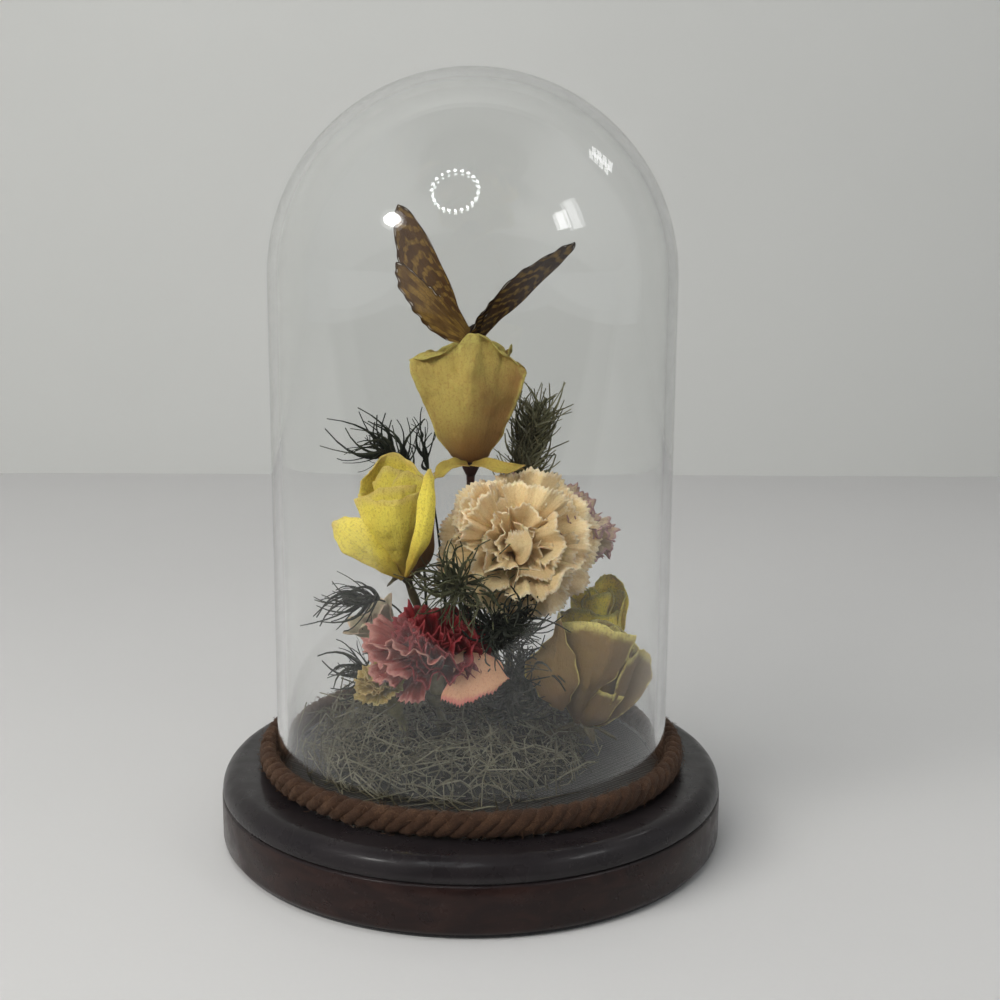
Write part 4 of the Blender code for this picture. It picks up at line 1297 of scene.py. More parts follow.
class DOME_OT_roses(bpy.types.Operator):
    """Shape the four dried roses petal by petal, with their sepals and stems."""
    bl_idname = "dome.roses"
    bl_label = "Roses"

    def execute(self, context):
        settings = context.scene.dome_roses
        stalk = plant_stem("rose_stem", (0.115, 0.100, 0.045), (0.045, 0.030, 0.016))
        maroon = plant_stem("maroon_stem", (0.050, 0.014, 0.012), (0.018, 0.006, 0.006))
        # painted shade: a darker brown copy of the petal colour, for the left rose's outer petal that lies in shadow
        # under its rolled edge
        shaded_petal = dried_petal("rose_petal_underside", (0.10, 0.045, 0.014), (0.17, 0.080, 0.024),
                                (0.30, 0.20, 0.05), (0.09, 0.04, 0.015), blotch_amount=0.5)
        straw = dried_petal("straw_rose_petal", (0.40, 0.27, 0.06), (0.60, 0.46, 0.11), (0.62, 0.46, 0.16),
                            (0.40, 0.25, 0.06), blotch_amount=0.4)
        # the olive petals carry painted shade over the top rose's lower right side, away from the light
        olive = dried_petal("olive_rose_petal", (0.20, 0.105, 0.035), settings.olive, (0.52, 0.45, 0.13),
                            (0.27, 0.145, 0.05), veins=22, crease=0.8,
                            painted_side_shade=((0.80, 0, -0.60), -0.083, -0.066, (0.21, 0.095, 0.032)))
        yellow = dried_petal("yellow_rose_petal", (0.42, 0.27, 0.045), settings.yellow, (0.72, 0.56, 0.17),
                             (0.40, 0.26, 0.045), veins=20, blotch_amount=0.30)
        tan = dried_petal("tan_rose_petal", (0.17, 0.10, 0.045), settings.tan, (0.70, 0.60, 0.20),
                          (0.20, 0.115, 0.06), veins=20, blotch_amount=0.6)
        green = dried_petal("green_yellow_rose_petal", (0.17, 0.12, 0.04), settings.green, (0.44, 0.39, 0.10),
                            (0.20, 0.14, 0.04), veins=18)
        for name, shaper, slot, stem, petal in (
                ("top_rose", shape_top_rose, "rose_olive", maroon, olive),
                ("left_rose", shape_left_rose, "rose_yellow", stalk, yellow),
                ("right_lower_rose", shape_right_lower_rose, "rose_tan", stalk, tan),
                ("right_upper_rose", shape_right_upper_rose, "rose_green_yellow", stalk, green)):
            draft = flower_draft(name, settings.crumple)
            shaper(draft)
            finish_flower(draft, name, (petal, stem, shaded_petal, straw))
        return {'FINISHED'}


def carnation_calyx(draft, top, wide, slot):
    """The ribbed tube under a carnation's petals, with six short teeth."""
    rings, steps, teeth = 14, 30, 6
    verts, uvs = [], []
    for i in range(rings):
        t = i / (rings - 1)
        for k in range(steps):
            a = TURN * k / steps
            r = (1.7 + (wide - 1.7) * (0.35 * t + 0.65 * t * t)) * (1 + 0.035 * math.cos(teeth * 2 * a))
            z = top * t + (0.9 * math.cos(teeth * a) if i == rings - 1 else 0)
            verts.append((r * math.cos(a) * MM, r * math.sin(a) * MM, z * MM))
            uvs.append((k / steps, t))
    draft.add(close_ends(verts, uvs, rings, steps, (0, 0, -0.4 * MM), (0, 0, (top - 1.5) * MM)), slot)


def carnation_rings(draft, rings, seed, tooth, scale=1, loose=1, pitch=46):
    """Rings of fan petals: (count, tilt, claw, blade, spread, ruffle, waves, material, first angle) each."""
    random = np.random.RandomState(seed)
    for count, tilt, claw, blade, spread, ruffle, waves, slot, first in rings:
        for k in range(count):
            lean = tilt + random.uniform(-7, 7) * loose
            size = blade * random.uniform(0.88, 1.12)
            fan_petal(draft, first + 360 * k / count + random.uniform(-10, 10) * loose, lean, claw * scale,
                      size * scale, spread * random.uniform(0.85, 1.1), ruffle * scale * random.uniform(0.7, 1.3),
                      waves + random.uniform(-0.6, 0.6), random.uniform(0, 50), (1.4 * scale, 9.5 * scale), slot,
                      random.uniform(0.25, 0.75), tooth * scale ** 0.5, max(6, int(size * spread / pitch)),
                      random.uniform(4, 34), random.uniform(-0.2, 0.4) / loose)


class DOME_OT_carnations(bpy.types.Operator):
    """Build the cream, mauve and red carnations from pinked fan petals."""
    bl_idname = "dome.carnations"
    bl_label = "Carnations"

    def execute(self, context):
        settings = context.scene.dome_carnations
        tooth = settings.tooth
        stalk = plant_stem("carnation_stem", (0.20, 0.18, 0.105), (0.085, 0.075, 0.042))
        calyx = plant_stem("carnation_calyx", (0.38, 0.33, 0.21), (0.22, 0.185, 0.11))
        cream = dried_petal("cream_carnation_petal", (0.56, 0.30, 0.115), settings.cream, (0.86, 0.72, 0.50),
                            (0.66, 0.43, 0.22), veins=26, blotch_amount=0.3, edge_width=0.10)
        mauve = dried_petal("mauve_carnation_petal", (0.52, 0.36, 0.22), settings.mauve, (0.46, 0.27, 0.28),
                            (0.48, 0.34, 0.29), veins=26, blotch_amount=0.3, edge_width=0.06, crease=0.8)
        deep = dried_petal("red_carnation_petal", (0.085, 0.004, 0.006), settings.red, (0.30, 0.045, 0.05),
                           (0.060, 0.003, 0.005), veins=24, blotch_amount=0.5, edge_width=0.14)
        pink = dried_petal("pink_carnation_petal", (0.30, 0.035, 0.035), settings.pink, (0.50, 0.24, 0.20),
                           (0.33, 0.08, 0.08), veins=30, edge_width=0.2)
        peach = dried_petal("peach_carnation_petal", (0.60, 0.34, 0.19), (0.68, 0.38, 0.23), (0.60, 0.20, 0.18),
                            (0.52, 0.21, 0.14), veins=34, blotch_amount=0.35)

        draft = flower_draft("cream_carnation")
        carnation_rings(draft, ((7, 94, 6.5, 16.5, 46, 1.7, 1.7, 0, 8), (6, 80, 6.5, 16, 44, 2, 1.8, 0, 34),
                                (5, 62, 6.5, 15, 43, 2.2, 1.7, 0, 5), (5, 44, 6.5, 13, 40, 2.4, 1.6, 0, 26),
                                (4, 26, 6, 10.5, 36, 2, 1.5, 0, 50), (4, 9, 5, 9, 30, 1.4, 1.4, 0, 20)),
                        7, tooth, loose=1.8, pitch=34)
        laid_petal(draft, ((11.6, -17, 86.5), (12.2, -21.6, 88.4), (12.4, -23.2, 91.2), (12.2, -22, 94.2)),
                   ((0, 1), (0.4, 3.2), (0.75, 3.8), (1, 2.6)), ((0, 1), (0.4, 3.4), (0.75, 4.1), (1, 3)),
                   face=(-0.2, -1, 0.2), bow=-0.5, curl=(-0.8, 1), rough=0.8, seed=91, tone=0.3, rows=26, teeth=7)
        carnation_calyx(draft, 12, 5.2, 2)
        finish_flower(draft, "cream_carnation", (cream, stalk, calyx), 0.8)

        draft = flower_draft("mauve_carnation")
        carnation_rings(draft, ((8, 84, 7, 15.5, 42, 2, 2.6, 0, 0), (7, 64, 7, 14.5, 42, 2, 2.4, 0, 25),
                                (6, 42, 7, 12.5, 42, 1.8, 2.2, 0, 12), (4, 22, 7, 10, 42, 1.6, 2, 0, 40)),
                        17, tooth * 1.2, scale=0.86)
        carnation_calyx(draft, 11, 4.6, 2)
        finish_flower(draft, "mauve_carnation", (mauve, stalk, calyx), 0.8)

        draft = flower_draft("red_carnation")
        carnation_rings(draft, ((3, 84, 6, 13, 42, 1.8, 2.8, 3, 150), (6, 72, 6, 14, 42, 2.4, 3, 0, 10),
                                (7, 54, 6, 14.5, 42, 2.6, 3, 0, 30), (7, 36, 6, 14.5, 40, 2.6, 2.8, 0, 0),
                                (6, 16, 6, 14, 38, 2.2, 2.6, 0, 20)), 27, tooth, scale=0.86)
        for around, tilt, blade, seed in ((-58, 72, 17, 3.1), (-84, 58, 17.5, 8.2), (-72, 96, 14.5, 14.4),
                                          (-46, 128, 11.5, 19.3), (-112, 84, 14, 23), (-30, 52, 15, 31)):
            fan_petal(draft, around, tilt, 5.5, blade, 42, 1.3, 2.6, seed, (1.6, 10), 3, 0.55, tooth, 15)
        laid_petal(draft, ((-3.4, -25, 64.5), (-1.6, -29, 60), (-0.2, -30.6, 54.8), (-0.4, -31, 49)),
                   ((0, 1.4), (0.30, 5.6), (0.6, 9), (1, 10.4)), ((0, 1.2), (0.4, 3.8), (0.75, 7.2), (1, 8.2)),
                   face=(0.2, -1, 0.1), bow=0.8, curl=(-1, 1.2),
                   rim=((-1, -6.5), (-0.5, -2.6), (0.1, 0), (0.5, 0.4), (1, -1.2)), rough=0.7, seed=93,
                   slot=4, tone=0.9, thickness=0.24, teeth=19)
        carnation_calyx(draft, 13.5, 4.4, 2)
        finish_flower(draft, "red_carnation", (deep, stalk, calyx, pink, peach))
        return {'FINISHED'}


class DOME_OT_small_flowers(bpy.types.Operator):
    """Build the small cream flower behind on the left and the small yellow tuft low in front."""
    bl_idname = "dome.small_flowers"
    bl_label = "Small flowers"

    def execute(self, context):
        tooth = context.scene.dome_carnations.tooth
        stalk = plant_stem("small_flower_stem", (0.24, 0.215, 0.09), (0.11, 0.095, 0.04))
        pale = dried_petal("pale_cream_petal", (0.40, 0.31, 0.16), (0.52, 0.46, 0.31), (0.60, 0.46, 0.33),
                           (0.38, 0.30, 0.20), veins=18, blotch_amount=0.4)
        ochre = dried_petal("ochre_tuft_petal", (0.26, 0.17, 0.05), (0.42, 0.31, 0.11), (0.48, 0.37, 0.16),
                            (0.28, 0.17, 0.06), veins=20, blotch_amount=0.4)
        draft = flower_draft("small_cream_flower")
        for k, (around, out) in enumerate(((-70, 1), (-10, 0.9), (50, 0.8), (110, 0.9), (170, 1), (-130, 1.05))):
            wrapped_petal(draft, around, ((0.9, 1), (2.6, 3), (4.6 * out, 7), (6.4 * out, 11), (8 * out, 14)),
                          ((0, 1.2), (0.4, 4.2), (0.8, 5.2), (1, 4)), ((-1, 12.5), (0, 15.5), (1, 12.5)),
                          ((-1, 0.3), (0, 1.2), (1, 0.3)), rough=0.5, seed=95 + k, tone=0.4 + 0.08 * k, rows=26,
                          cols=22)
        heart_petals(draft, 3, 11.5, 3.4, seed=97)
        finish_flower(draft, "small_cream_flower", (pale, stalk))

        draft = flower_draft("small_yellow_flower")
        carnation_rings(draft, ((10, 84, 3.6, 6.4, 30, 0.8, 2.6, 0, 0), (9, 58, 3.6, 6.4, 30, 0.9, 2.6, 0, 15),
                                (8, 32, 3.6, 6.2, 30, 0.9, 2.4, 0, 30), (5, 12, 3.6, 5.8, 28, 0.7, 2, 0, 5)),
                        37, tooth * 0.8, scale=0.8)
        carnation_calyx(draft, 8, 2.6, 1)
        finish_flower(draft, "small_yellow_flower", (ochre, stalk))
        return {'FINISHED'}


# ---------------------------------------------------------------------------------------------------
# Moss and ferns.
# ---------------------------------------------------------------------------------------------------

# Turns, first and last radius and rise of each kind of curl, against the strands' length.
MOSS_CURLS = ((0.32, 2.1, 1.5, 0.5), (0.5, 1.5, 0.9, 0.35), (0.22, 3.2, 2.5, 0.8), (0.75, 1, 0.5, 0.6),
              (0.18, 3.8, 3.1, 0.3), (0.42, 1.9, 0.6, 0.9))


def curled_moss_tree():
    """Curled strands scattered on a mound."""
    shape = ShapeTree("Curled moss", {"Strands": "Int", "Strand radius": "Float", "Length": "Float",
                                      "Mound area": "Float", "Seed": "Int", "Material": "Material"})
    given = shape.given
    profile = shape.circle(given["Strand radius"], 3)
    kinds = []
    for turns, wide, narrow, rise in MOSS_CURLS:
        curl = shape.out("GeometryNodeCurveSpiral", {
            "Resolution": 11, "Rotations": turns, "Start Radius": given["Length"] * (wide * 0.42),
            "End Radius": given["Length"] * (narrow * 0.42), "Height": given["Length"] * rise})
        strand = shape.sweep(curl, profile, **{"Fill Caps": True})
        kinds.append(shape.out("GeometryNodeGeometryToInstance", {0: strand}))
    spread = shape.add("GeometryNodeDistributePointsOnFaces", {
        "Mesh": given["Geometry"], "Density": given["Strands"] / given["Mound area"], "Seed": given["Seed"]})
    points, rotation = (Wire(shape, spread.outputs[name]) for name in ("Points", "Rotation"))
    spun = shape.turn(rotation, (0, 0, 1), shape.random(0, 6.283, 1))
    leaned = shape.turn(spun, (1, 0, 0), shape.random(-1.3, 1.3, 2))
    strands = shape.out("GeometryNodeInstanceOnPoints", {
        "Points": points, "Instance": shape.join(*kinds), "Pick Instance": True, "Rotation": leaned,
        "Scale": shape.random(0.55, 1.35, 3)})
    return shape.finish(shape.soften(shape.store_tone(strands, shape.random(0, 1, 4))))


def moss_mound(inset, rough, rings=34, steps=120):
    """A closed lumpy mound under the strands; inset keeps it below the moss surface."""
    verts = []
    for i in range(rings + 1):
        t = 1 - i / rings
        for k in range(steps):
            a = TURN * k / steps
            r = MOSS_RADIUS * t * (0.94 + 0.035 * wander(math.cos(a) * 2, math.sin(a) * 2, 5))
            x, y = MOSS_CENTRE_X + r * math.cos(a), r * math.sin(a)
            z = moss_height(x, y) - inset
            place = Vector((x, y, z))
            lumps = noise.noise(place * 160) + 0.6 * noise.noise(place * 420)
            z += rough * lumps * min(1, t * 6 + 0.2)
            if i == 0:
                z = MOSS_LOW.z + 0.7 * MM
            verts.append((x, y, max(z, MOSS_LOW.z + 0.6 * MM)))
    faces = band_faces(rings + 1, steps)
    foot = len(verts)
    verts += [(x, y, MOSS_LOW.z) for x, y, _ in verts[:steps]] + [(MOSS_CENTRE_X, 0, MOSS_LOW.z)]
    for k in range(steps):
        n = (k + 1) % steps
        faces += [(foot + k, foot + n, n, k), (foot + n, foot + k, foot + steps)]
    mesh = new_mesh("moss_mound", verts, faces)
    work = bmesh.new()
    work.from_mesh(mesh)
    bmesh.ops.remove_doubles(work, verts=work.verts, dist=1e-6)
    bmesh.ops.recalc_face_normals(work, faces=work.faces)
    work.to_mesh(mesh)
    work.free()
    mesh.shade_smooth()
    return mesh


def joined_mesh(name, meshes):
    """One mesh made of several; every part keeps its tone and its material."""
    work = bmesh.new()
    target = bpy.data.meshes.new(name)
    materials = []
    work.verts.layers.float.new("tone")
    for mesh in meshes:
        before = len(work.faces)
        work.from_mesh(mesh)
        work.faces.ensure_lookup_table()
        for face in work.faces[before:]:
            face.material_index += len(materials)
        materials += list(mesh.materials)
    work.to_mesh(target)
    work.free()
    for mat in materials:
        target.materials.append(mat)
    return target


class DOME_OT_moss(bpy.types.Operator):
    """Heap the curled moss on the disc."""
    bl_idname = "dome.moss"
    bl_label = "Moss"

    def execute(self, context):
        settings = context.scene.dome_moss
        fibre = toned_fibre("grey_green_moss", darker(settings.color, 0.32), settings.color, (0.27, 0.25, 0.175))
        # painted shade: near-black finish for the mound under the strands, standing in for the shade between them
        painted_moss_shade = toned_fibre("moss_shadow", (0.008, 0.008, 0.006), (0.026, 0.026, 0.018), (0.050, 0.048, 0.034), 0.95)
        mound = moss_mound(2.2 * MM, 1.2 * MM)
        area = sum(face.area for face in mound.polygons) * 0.62
        strands = grow("moss_strands", moss_mound(1.6 * MM, 0.6 * MM, 20, 60), curled_moss_tree(), {
            "Strands": settings.strands, "Strand radius": settings.thickness, "Length": 9 * MM,
            "Mound area": area, "Seed": settings.seed, "Material": fibre})
        lowest = MOSS_LOW.z + settings.thickness
        hold_inside(strands)
        for vert in strands.vertices:
            if vert.co.z < lowest:
                vert.co.z = lowest + 0.15 * MM * abs(math.sin(vert.co.x * 900 + vert.co.y * 700))
        # the mound is painted near-black as the shade down between the strands
        mound.materials.append(painted_moss_shade)
        mesh = joined_mesh("curled_moss", (mound, strands))
        finish_piece(place_mesh("curled_moss", mesh), "moss_bed")
        return {'FINISHED'}


def fern_tree():
    """A sprig: a thin stem with curved needles crowded towards its tip."""
    shape = ShapeTree("Fern sprig", {
        "Needles": "Int", "Start": "Float", "Length": "Float", "Radius": "Float", "Spread": "Float",
        "Curl": "Float", "Stem radius": "Float", "Seed": "Int", "Material": "Material"})
    given = shape.given
    capped = {"Fill Caps": True}
    stem = shape.out("GeometryNodeMeshToCurve", {0: given["Geometry"]})
    taper = shape.smooth(shape.out("GeometryNodeSplineParameter", output="Factor"), 0, 1, 1, 0.45)
    thick = shape.out("GeometryNodeSetCurveRadius", {0: stem, "Radius": taper})
    stalk = shape.sweep(thick, shape.circle(given["Stem radius"], 7), Scale=taper, **capped)
    stalk = shape.store_tone(stalk, 0.6, 'POINT')
    bow = shape.out("GeometryNodeCurvePrimitiveBezierSegment",
                    {"Resolution": 7, "Start": (0, 0, 0), "Start Handle": (0, 0, 0.35),
                     "End Handle": (0.04, 0, 0.78), "End": (0.36, 0, 0.92)})
    width = shape.smooth(shape.out("GeometryNodeSplineParameter", output="Factor"), 0.55, 1, 1, 0.5)
    tapered = shape.out("GeometryNodeSetCurveRadius", {0: bow, "Radius": width})
    needle = shape.sweep(tapered, shape.circle(given["Radius"] / given["Length"], 4), Scale=width, **capped)
    crown = shape.out("GeometryNodeTrimCurve", {"Curve": stem, "Start": given["Start"], "End": 1})
    posts = shape.add("GeometryNodeCurveToPoints", {"Curve": crown, "Count": given["Needles"]})
    points, tangent = (Wire(shape, posts.outputs[name]) for name in ("Points", "Tangent"))
    aim = shape.out("FunctionNodeAlignRotationToVector", {"Vector": tangent}, axis='Z')
    spun = shape.turn(aim, (0, 0, 1), shape.random(0, 6.283, 1))
    leaned = shape.turn(spun, (0, 1, 0), given["Spread"] * shape.random(0.25, 1.15, 2))
    rolled = shape.turn(leaned, (0, 0, 1), shape.random(2, 4.3, 3))
    size = given["Length"] * shape.random(0.6, 1.12, 4)
    curl = size * given["Curl"] * shape.random(0.1, 1.7, 5)
    needles = shape.out("GeometryNodeInstanceOnPoints", {
        "Points": points, "Instance": needle, "Rotation": rolled, "Scale": shape.combine(curl, size, size)})
    toned = shape.store_tone(needles, shape.random(0, 0.9, 6))
    return shape.finish(shape.soften(shape.join(toned, stalk)))


# Needles, first needle along the stem, needle length in mm, spread in degrees, curl and finish of each sprig.
FERN_KINDS = {
    "fern_top_left": (54, 0.84, 13, 62, 2, "dark"),
    "fern_behind_rose": (16, 0.86, 11.5, 62, 1.6, "dark"),
    "fern_top_right": (420, 0.72, 9, 84, 2.6, "sage"),
    "fern_centre": (130, 0.88, 13.5, 112, 1.8, "olive"),
    "fern_mid_left": (50, 0.86, 13.5, 66, 1.6, "dark"),
    "fern_low_left": (56, 0.84, 11.5, 80, 1.4, "dark"),
    "fern_low_centre": (270, 0.55, 13.5, 104, 1.6, "deep"),
    "fern_low_right": (290, 0.25, 11.5, 105, 1.7, "deep"),
}


class DOME_OT_ferns(bpy.types.Operator):
    """Grow the eight fern sprigs along their stems."""
    bl_idname = "dome.ferns"
    bl_label = "Fern sprigs"

    def execute(self, context):
        settings = context.scene.dome_ferns
        dark, sage = settings.dark_color, settings.sage_color
        shades = {
            "dark": (darker(dark, 0.45), dark, (0.055, 0.060, 0.038)),
            "deep": ((0.012, 0.014, 0.010), (0.032, 0.036, 0.026), (0.075, 0.076, 0.055)),
            "olive": ((0.028, 0.030, 0.016), (0.075, 0.078, 0.040), (0.16, 0.155, 0.085)),
            "sage": (darker(sage, 0.35), sage, (0.32, 0.31, 0.20)),
        }
        finishes = {kind: toned_fibre(kind + "_fern_needles", *shade) for kind, shade in shades.items()}
        tree = fern_tree()
        for number, (name, route) in enumerate(FERN_ROUTES_MM.items()):
            needles, start, length, spread, curl, kind = FERN_KINDS[name]
            foot = Vector((route[0][0] * MM, route[0][1] * MM, 0))
            foot.z = moss_height(foot.x, foot.y) + 0.4 * MM
            points = bezier_points([foot] + [Vector(p) * MM for p in route[1:]], 40)
            edges = [(k, k + 1) for k in range(len(points) - 1)]
            mesh = grow(name + "_sprig", new_mesh(name + "_route", points, [], edges), tree, {
                "Needles": needles, "Start": start, "Length": length * MM, "Radius": settings.thickness,
                "Spread": math.radians(spread), "Curl": curl, "Stem radius": 0.55 * MM,
                "Seed": settings.seed + 20 * number, "Material": finishes[kind]})
            hold_inside(mesh)
            finish_piece(place_mesh(name + "_sprig", mesh), name)
        return {'FINISHED'}


# ---------------------------------------------------------------------------------------------------
# Butterfly.
# ---------------------------------------------------------------------------------------------------

THORAX_MM = Vector((0.2, 2.5, 146.8))
BODY_AXIS = Vector((0.38, 0.85, 0.36)).normalized()

# The body's radius at places along its axis, in mm.
BODY_STATIONS = ((-9.5, 0.5), (-8.8, 0.9), (-7, 1.25), (-5, 1.4), (-3.2, 1.35), (-2, 1.7), (0, 2.15),
                 (1.8, 1.9), (2.8, 1.1), (3.4, 1.15), (4.2, 1.3), (5, 0.95), (5.4, 0.4))
BODY_HAIRS = 420

# Outlines in the wing's own plane: distance out from the body and forward of it, in mm.
FOREWING = ((-1.5, -2), (0, 1.2), (8.4, 2.4), (15.7, 5.4), (24.5, 7.6), (32, 6.9), (38.6, 3), (40.8, -0.9),
            (40.2, -3.4), (38.3, -6.6), (35.2, -10.4), (31.4, -13.4), (27.6, -15.6), (24.6, -17.2), (20, -17.4),
            (12, -13.5), (4, -7.5))
HINDWING = ((-1.4, 0.2), (4, -1), (12, -5.8), (19, -10.8), (23.5, -14.4), (25.4, -16.9), (25.2, -19.4),
            (22.8, -21.4), (19.4, -22.8), (15, -22.7), (10.4, -21.8), (5.4, -19.2), (1.4, -14.6), (-0.9, -10),
            (-2, -4.5))

# Root, the ways the wing points out and forward, length, chord, material, and the hind wing's lift, share and
# material.
WINGS = (
    ((-0.6, 1, 147), (-0.477, 0.073, 0.876), (0.45, 0.89, 0), 1, 1, 0, -0.5, 1, 3),
    ((2.9, 1.2, 145.4), (0.672, -0.26, 0.693), (0.52, 0.86, 0), 0.93, 0.86, 1, 0.5, 0.56, 1),
)


def add_wing(draft, outline, place, size, lift, scallops, slot):
    """One wing as a thin closed sheet with pleats along its veins; its tone is how near the rim each point is.

    place turns and moves it; size is its length and chord against the outline, and its thickness in metres.
    """
    cols, rows = 168, 16
    length, chord, thickness = size
    rim = even_spline(outline, cols, closed=True)[1]
    centre = rim.mean(axis=0)
    trailing = step_up(rim[:, 0], 3, 8) * step_up(-rim[:, 1], -1 if scallops > 0.5 else 2, 8)
    ripple = np.sin(np.arange(cols) / cols * TURN * 21)
    away = rim - centre
    away /= np.linalg.norm(away, axis=1, keepdims=True)
    rim = rim + away * (ripple * trailing * 0.33 * scallops)[:, None]
    share = 1 - (1 - np.linspace(0, 1, rows)) ** 1.5
    verts, uvs, near_rim, faces = [], [], [], []
    for side in (1, -1):
        for i in range(rows):
            for j in range(cols if i else 1):
                p = centre + (rim[j] - centre) * share[i] if i else centre
                angle = math.atan2(p[1], p[0] + 3)
                reach = math.hypot(p[0], p[1])
                bow = 0.9 * math.sin(min(1, reach / 40) * math.pi * 0.9) + 0.0042 * (p[1] + 6) ** 2
                pleat = 0.16 * math.cos(angle * TURN * 6.2) * min(1, reach / 9)
                sag = 0.5 * wander(p[0] * 0.09, p[1] * 0.09, lift * 3)
                edge = 0.25 + 0.75 * min(1, (1 - share[i]) * 8)
                height = lift + bow + pleat + sag + side * thickness / MM / 2 * edge
                verts.append(tuple(place @ (Vector((p[0] * length, p[1] * chord, height)) * MM)))
                uvs.append(((p[0] + 3) / 45, (p[1] + 15) / 30))
                gap = np.min(np.linalg.norm(rim - p, axis=1)) if i < rows - 1 else 0
                near_rim.append(max(0, 1 - gap / 4.2) * step_up(reach, 9, 15))
    half = 1 + (rows - 1) * cols
    for base, step in ((0, 1), (half, -1)):
        for j in range(cols):
            n = (j + 1) % cols
            faces.append((base, base + 1 + j, base + 1 + n)[::step])
            for a in range(base + 1, base + 1 + (rows - 2) * cols, cols):
                faces.append((a + j, a + cols + j, a + cols + n, a + n)[::step])
    last = 1 + (rows - 2) * cols
    for j in range(cols):
        n = (j + 1) % cols
        faces.append((last + j, last + half + j, last + half + n, last + n))
    draft.add((verts, uvs, faces), slot, np.array(near_rim))


class DOME_OT_butterfly(bpy.types.Operator):
    """Set the butterfly on the top rose, its wings raised."""
    bl_idname = "dome.butterfly"
    bl_label = "Butterfly"

    def execute(self, context):
        settings = context.scene.dome_butterfly
        dark, ochre = settings.dark, settings.ochre
        left = wing_scales("upper_wing_scales", dark, ochre, (0.150, 0.080, 0.030), 0.1)
        hind = wing_scales("hind_wing_scales", dark, ochre, (0.21, 0.118, 0.036), -0.55, 13.0, 15.0, 3.0)
        right = wing_scales("under_wing_scales", darker(dark, 0.62), ochre, (0.075, 0.045, 0.024), 0.2)
        fur = toned_fibre("butterfly_body_fur", (0.008, 0.006, 0.005), (0.025, 0.018, 0.014), (0.07, 0.05, 0.035))
        draft = Draft()
        for root, span, forward, length, chord, slot, lower, hind_share, hind_slot in WINGS:
            out = Vector(span).normalized()
            ahead = Vector(forward)
            ahead = (ahead - out * ahead.dot(out)).normalized()
            turn = Matrix((out, ahead, out.cross(ahead))).transposed()
            place = Matrix.Translation(Vector(root) * MM) @ turn.to_4x4()
            add_wing(draft, FOREWING, place, (length, chord, settings.wing), 0, 0.45, slot)
            add_wing(draft, HINDWING, place, (length, chord * hind_share, settings.wing), lower, 1, hind_slot)
        centre = THORAX_MM * MM
        places, radii = zip(*BODY_STATIONS)
        draft.add(tube([centre + BODY_AXIS * d * MM for d in places], [r * MM for r in radii], 20), 2, 0.3)
        chance = np.random.RandomState(4)
        side = BODY_AXIS.orthogonal().normalized()
        for _ in range(BODY_HAIRS):
            d = chance.uniform(-8.5, 4.8)
            away = Matrix.Rotation(chance.uniform(0, TURN), 3, BODY_AXIS) @ side
            base = centre + (BODY_AXIS * d + away * np.interp(d, places, radii) * 0.9) * MM
            lie = (away * 0.7 - BODY_AXIS * 0.8 + Vector(chance.uniform(-0.3, 0.3, 3))).normalized()
            reach = chance.uniform(0.5, 1.1) * MM
            hair = [base, base + lie * reach * 0.5, base + (lie - away * 0.25) * reach]
            draft.add(tube(hair, [0.045 * MM, 0.035 * MM, 0.012 * MM], 3), 2, chance.uniform(0, 1))
        obj = draft.finish("mounted_butterfly", (left, right, fur, hind))
        finish_piece(obj, "butterfly")
        return {'FINISHED'}


# ---------------------------------------------------------------------------------------------------
# Stage, panel and run.
# ---------------------------------------------------------------------------------------------------

GLINT_DISTANCE = 0.6
WARM_WHITE = (1, 0.99, 0.97)
RING_LAMPS = 22
ROOM_LIGHT = 0.29
TABLE_EDGE = -0.28
CAMERA_PLACE = (0, -0.3972, 0.17458)
CAMERA_TURNS = (0.1884, 0.0199, 0.0068)

# Soft lamps: place, width, height, share of the key light's power and colour.
SOFT_LAMPS = {
    "key_softbox": ((-2.0, -1.0, 1.45), 0.8, 0.8, 1.15, (1, 0.985, 0.955)),
    "top_softbox": ((-0.3, -0.1, 2.3), 1.4, 1.2, 0.5, (1, 1, 1)),
    "fill_softbox": ((0.5, -2.0, 0.9), 1.2, 0.8, 0.17, (0.96, 0.98, 1)),
    "near_softbox": ((-0.38, -0.54, 0.62), 0.30, 0.30, 0.12, (1, 0.975, 0.93)),
}


def area_lamp(name, place, aim, width, height, power, color=(1, 1, 1), shape='RECTANGLE'):
    """A flat lamp at a place, turned towards the point it shines at."""
    lamp = bpy.data.lights.new(name, 'AREA')
    lamp.shape = shape
    lamp.size = width
    if shape != 'DISK':
        lamp.size_y = height
    lamp.energy = power
    lamp.color = color
    obj = bpy.data.objects.new(name, lamp)
    bpy.context.scene.collection.objects.link(obj)
    look = Vector(aim) - Vector(place)
    obj.matrix_world = Matrix.Translation(place) @ look.to_track_quat('-Z', 'Y').to_matrix().to_4x4()
    return obj


def glint(spot_mm, toward):
    """A spot on the glass, and the place of the lamp that shines in it."""
    spot = Vector(spot_mm) * MM
    toward = Vector(toward).normalized()
    return spot, toward, spot + toward * GLINT_DISTANCE


